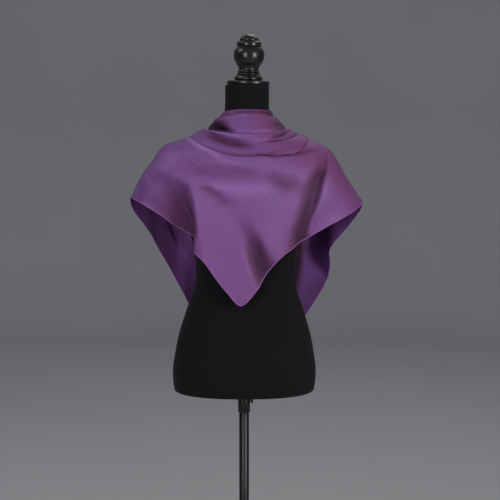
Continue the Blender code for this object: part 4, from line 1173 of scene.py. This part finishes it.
# %% [markdown]
# ## The rolled hem
# The square's edge is rolled over a needle and held by slip stitches a few millimetres apart.  The roll
# is a thin tube along the cloth's edge.  Each stitch draws the roll in a little, so its thickness swells
# and narrows from stitch to stitch, and a short slanting thread shows at each narrow place.

# %% Roll the hem
ROLL_RADIUS, ROLL_SWELL, ROLL_SIDES = 0.00105, 0.16, 8
STITCH_PITCH, ROLL_STEP = 0.0052, 0.0013
ROLL_SIDE_WIDTH = 0.0008   # of one side of the roll, on the cloth map


def hem_line():
    """Even points round the cloth's cut edge, with the cloth's normal and the way in over it."""
    edge = np.concatenate([cloth[:, 0], cloth[-1, 1:-1], cloth[::-1, -1]])
    out = np.concatenate([normals[:, 0], normals[-1, 1:-1], normals[::-1, -1]])
    inside = np.concatenate([cloth[:, 2], cloth[-3, 1:-1], cloth[::-1, -3]]) - edge
    length = run_lengths(edge, 0)
    at = np.linspace(0, length[-1], int(length[-1] / ROLL_STEP) + 1)
    even = [np.stack([np.interp(at, length, line[:, axis]) for axis in range(3)], axis=-1)
            for line in (edge, out, inside)]
    return at, even[0], unit(even[1]), unit(even[2])


def tube(line, side, lift, radius, sides):
    """Points and faces of a tube along a line, with its ends closed."""
    turns = np.linspace(0, 2 * np.pi, sides, endpoint=False)[None, :, None]
    around = np.cos(turns) * side[:, None] + np.sin(turns) * lift[:, None]
    points = (line[:, None] + around * np.reshape(radius, (-1, 1, 1))).reshape(-1, 3)
    start = np.arange(len(line) - 1)[:, None] * sides
    here, onward = np.arange(sides)[None, :], (np.arange(sides)[None, :] + 1) % sides
    quads = np.stack([start + here, start + onward, start + sides + onward, start + sides + here], axis=-1)
    ends = [tuple(range(sides - 1, -1, -1)), tuple(range((len(line) - 1) * sides, len(line) * sides))]
    return points, [tuple(q) for q in quads.reshape(-1, 4)] + ends


hem_at, hem, hem_out, hem_in = hem_line()
hem_way = unit(np.gradient(hem, axis=0))
hem_side = unit(np.cross(hem_way, hem_out))
swell = ROLL_RADIUS * (1 + ROLL_SWELL * np.cos(2 * np.pi * hem_at / STITCH_PITCH))
roll_points, roll_faces = tube(hem, hem_side, hem_out, swell, ROLL_SIDES)
roll_map = np.stack([np.repeat(hem_at, ROLL_SIDES),
                     np.tile(np.arange(ROLL_SIDES) * ROLL_SIDE_WIDTH, len(hem))], axis=-1)
# the roll wears the silk painted lighter, a painted highlight along the hem
rolled_hem = add_piece("rolled_hem", roll_points, roll_faces, hem_silk_painted_lighter, cloth_map=roll_map)

# %% Stitch the hem
THREAD_RADIUS, STITCH_LENGTH, STITCH_SIDES = 0.00016, 0.0022, 5
STITCH_TAPER = np.array([0.6, 1.0, 0.6])     # the thread is thinner where it goes into the cloth
STITCH_FOOT, STITCH_CROWN, STITCH_LEAN = 1.1, 0.92, 0.4      # where it starts and ends, in roll radii
THREAD_COLOUR = (0.26, 0.09, 0.32)


def make_stitches():
    points, faces = [], []
    middles = np.arange(STITCH_PITCH / 2, hem_at[-1] - STITCH_LENGTH, STITCH_PITCH)
    for middle in middles:
        i = int(round(middle / hem_at[-1] * (len(hem) - 1)))
        for face_side in (1, -1):
            foot = hem[i] + hem_in[i] * ROLL_RADIUS * STITCH_FOOT + face_side * hem_out[i] * CLOTH / 2
            crown = hem[i] + (hem_out[i] * face_side + hem_in[i] * STITCH_LEAN) * ROLL_RADIUS * STITCH_CROWN
            slant = hem_way[i] * STITCH_LENGTH / 2
            line = np.array([foot - slant, (foot + crown) / 2 + face_side * hem_out[i] * THREAD_RADIUS,
                             crown + slant])
            way = unit(line[2] - line[0])
            lift = np.tile(unit(np.cross(way, hem_in[i])), (3, 1))
            side = np.cross(np.tile(way, (3, 1)), lift)
            bit, bit_faces = tube(line, side, lift, THREAD_RADIUS * STITCH_TAPER, STITCH_SIDES)
            first = len(points)
            points.extend(bit)
            faces.extend([tuple(first + corner for corner in face) for face in bit_faces])
    print("stitches:", len(middles))
    return points, faces


def thread_finish():
    finish = Finish("silk_thread", Sheen_Weight=0.3, Specular_IOR_Level=0.5)
    twist = finish.place().noise(900.0, detail=1.0)
    shade = 0.85 + twist * 0.30
    return finish.feed(Base_Color=shade.tone(THREAD_COLOUR), Roughness=0.40 + twist * 0.15)


stitch_points, stitch_faces = make_stitches()
hem_stitches = add_piece("hem_stitches", stitch_points, stitch_faces, thread_finish())

# %% [markdown]
# ## Floor, backdrop and light
# The floor is a pale sweep that curves up into a wall all round, so no corner or horizon shows from any
# side.  Two tall soft boxes stand in front at about the lens's height, one to its left and one further
# round to the right, which gives the two soft highlights on the finial.  A third lights the folds from
# high on the left, a broad one behind keeps the dark form apart from the wall, and the room fills in.

# %% Lay the sweep
SWEEP_FLOOR, SWEEP_CURVE, SWEEP_HEIGHT = 6.0, 1.6, 5.0
SWEEP_MIDDLE, SWEEP_BEND_ROWS = 0.001, 13
SWEEP_GREY = (0.50, 0.50, 0.51)


def sweep_finish():
    finish = Finish("pale_sweep", Specular_IOR_Level=0.1)
    mottle = finish.place().noise(1.3, detail=5.0, roughness=0.6)
    shade = 0.94 + mottle * 0.12
    return finish.feed(Base_Color=shade.tone(SWEEP_GREY), Roughness=0.85 + mottle * 0.1)


def make_sweep():
    bend = np.radians(np.linspace(0, 90, SWEEP_BEND_ROWS))
    outline = [(SWEEP_MIDDLE, 0.0), (SWEEP_FLOOR, 0.0)]
    outline += [(SWEEP_FLOOR + SWEEP_CURVE * np.sin(a), SWEEP_CURVE * (1 - np.cos(a))) for a in bend[1:]]
    outline += [(SWEEP_FLOOR + SWEEP_CURVE, SWEEP_HEIGHT)]
    outline = np.array(outline)
    turns = np.linspace(0, 2 * np.pi, TURN_STEPS + 1)
    rings = np.stack([outline[:, :1] * np.cos(turns), outline[:, :1] * np.sin(turns),
                      outline[:, 1:] + 0 * turns], axis=-1)
    faces = grid_faces(*rings.shape[:2])
    sweep = in_scene("pale_sweep", new_mesh("pale_sweep", rings.reshape(-1, 3), faces, sweep_finish()))
    print("sweep:", len(faces), "faces")


make_sweep()

# %% Place the lights
LIT_PLACE = Vector((0.0, 0.0, 1.25))   # what all the boxes face
ROOM_COLOUR, ROOM_LIGHT = (0.92, 0.95, 1.0, 1), 0.30


def soft_box(name, azimuth, elevation, distance, size, power):
    """A rectangular area light, placed by its turn and its height angle in degrees."""
    light = bpy.data.lights.new(name, "AREA")
    light.shape, light.size, light.size_y, light.energy = "RECTANGLE", size[0], size[1], power
    made = aimed(name, light, LIT_PLACE, np.radians(azimuth), np.radians(elevation), distance)
    print("light:", name, power, "W at", shown(made.location))


soft_box("left_box", -26, 6, 3.4, (0.55, 1.6), 33)
soft_box("right_box", 44, 6, 3.2, (0.80, 1.6), 48)
soft_box("top_box", -80, 42, 3.2, (1.0, 1.0), 14)
soft_box("back_box", 165, 50, 4.0, (2.0, 1.5), 20)

world = bpy.data.worlds.new("studio")
world.use_nodes = True
world.node_tree.nodes["Background"].inputs["Color"].default_value = ROOM_COLOUR
world.node_tree.nodes["Background"].inputs["Strength"].default_value = ROOM_LIGHT
bpy.context.scene.world = world
print("room light:", ROOM_LIGHT)
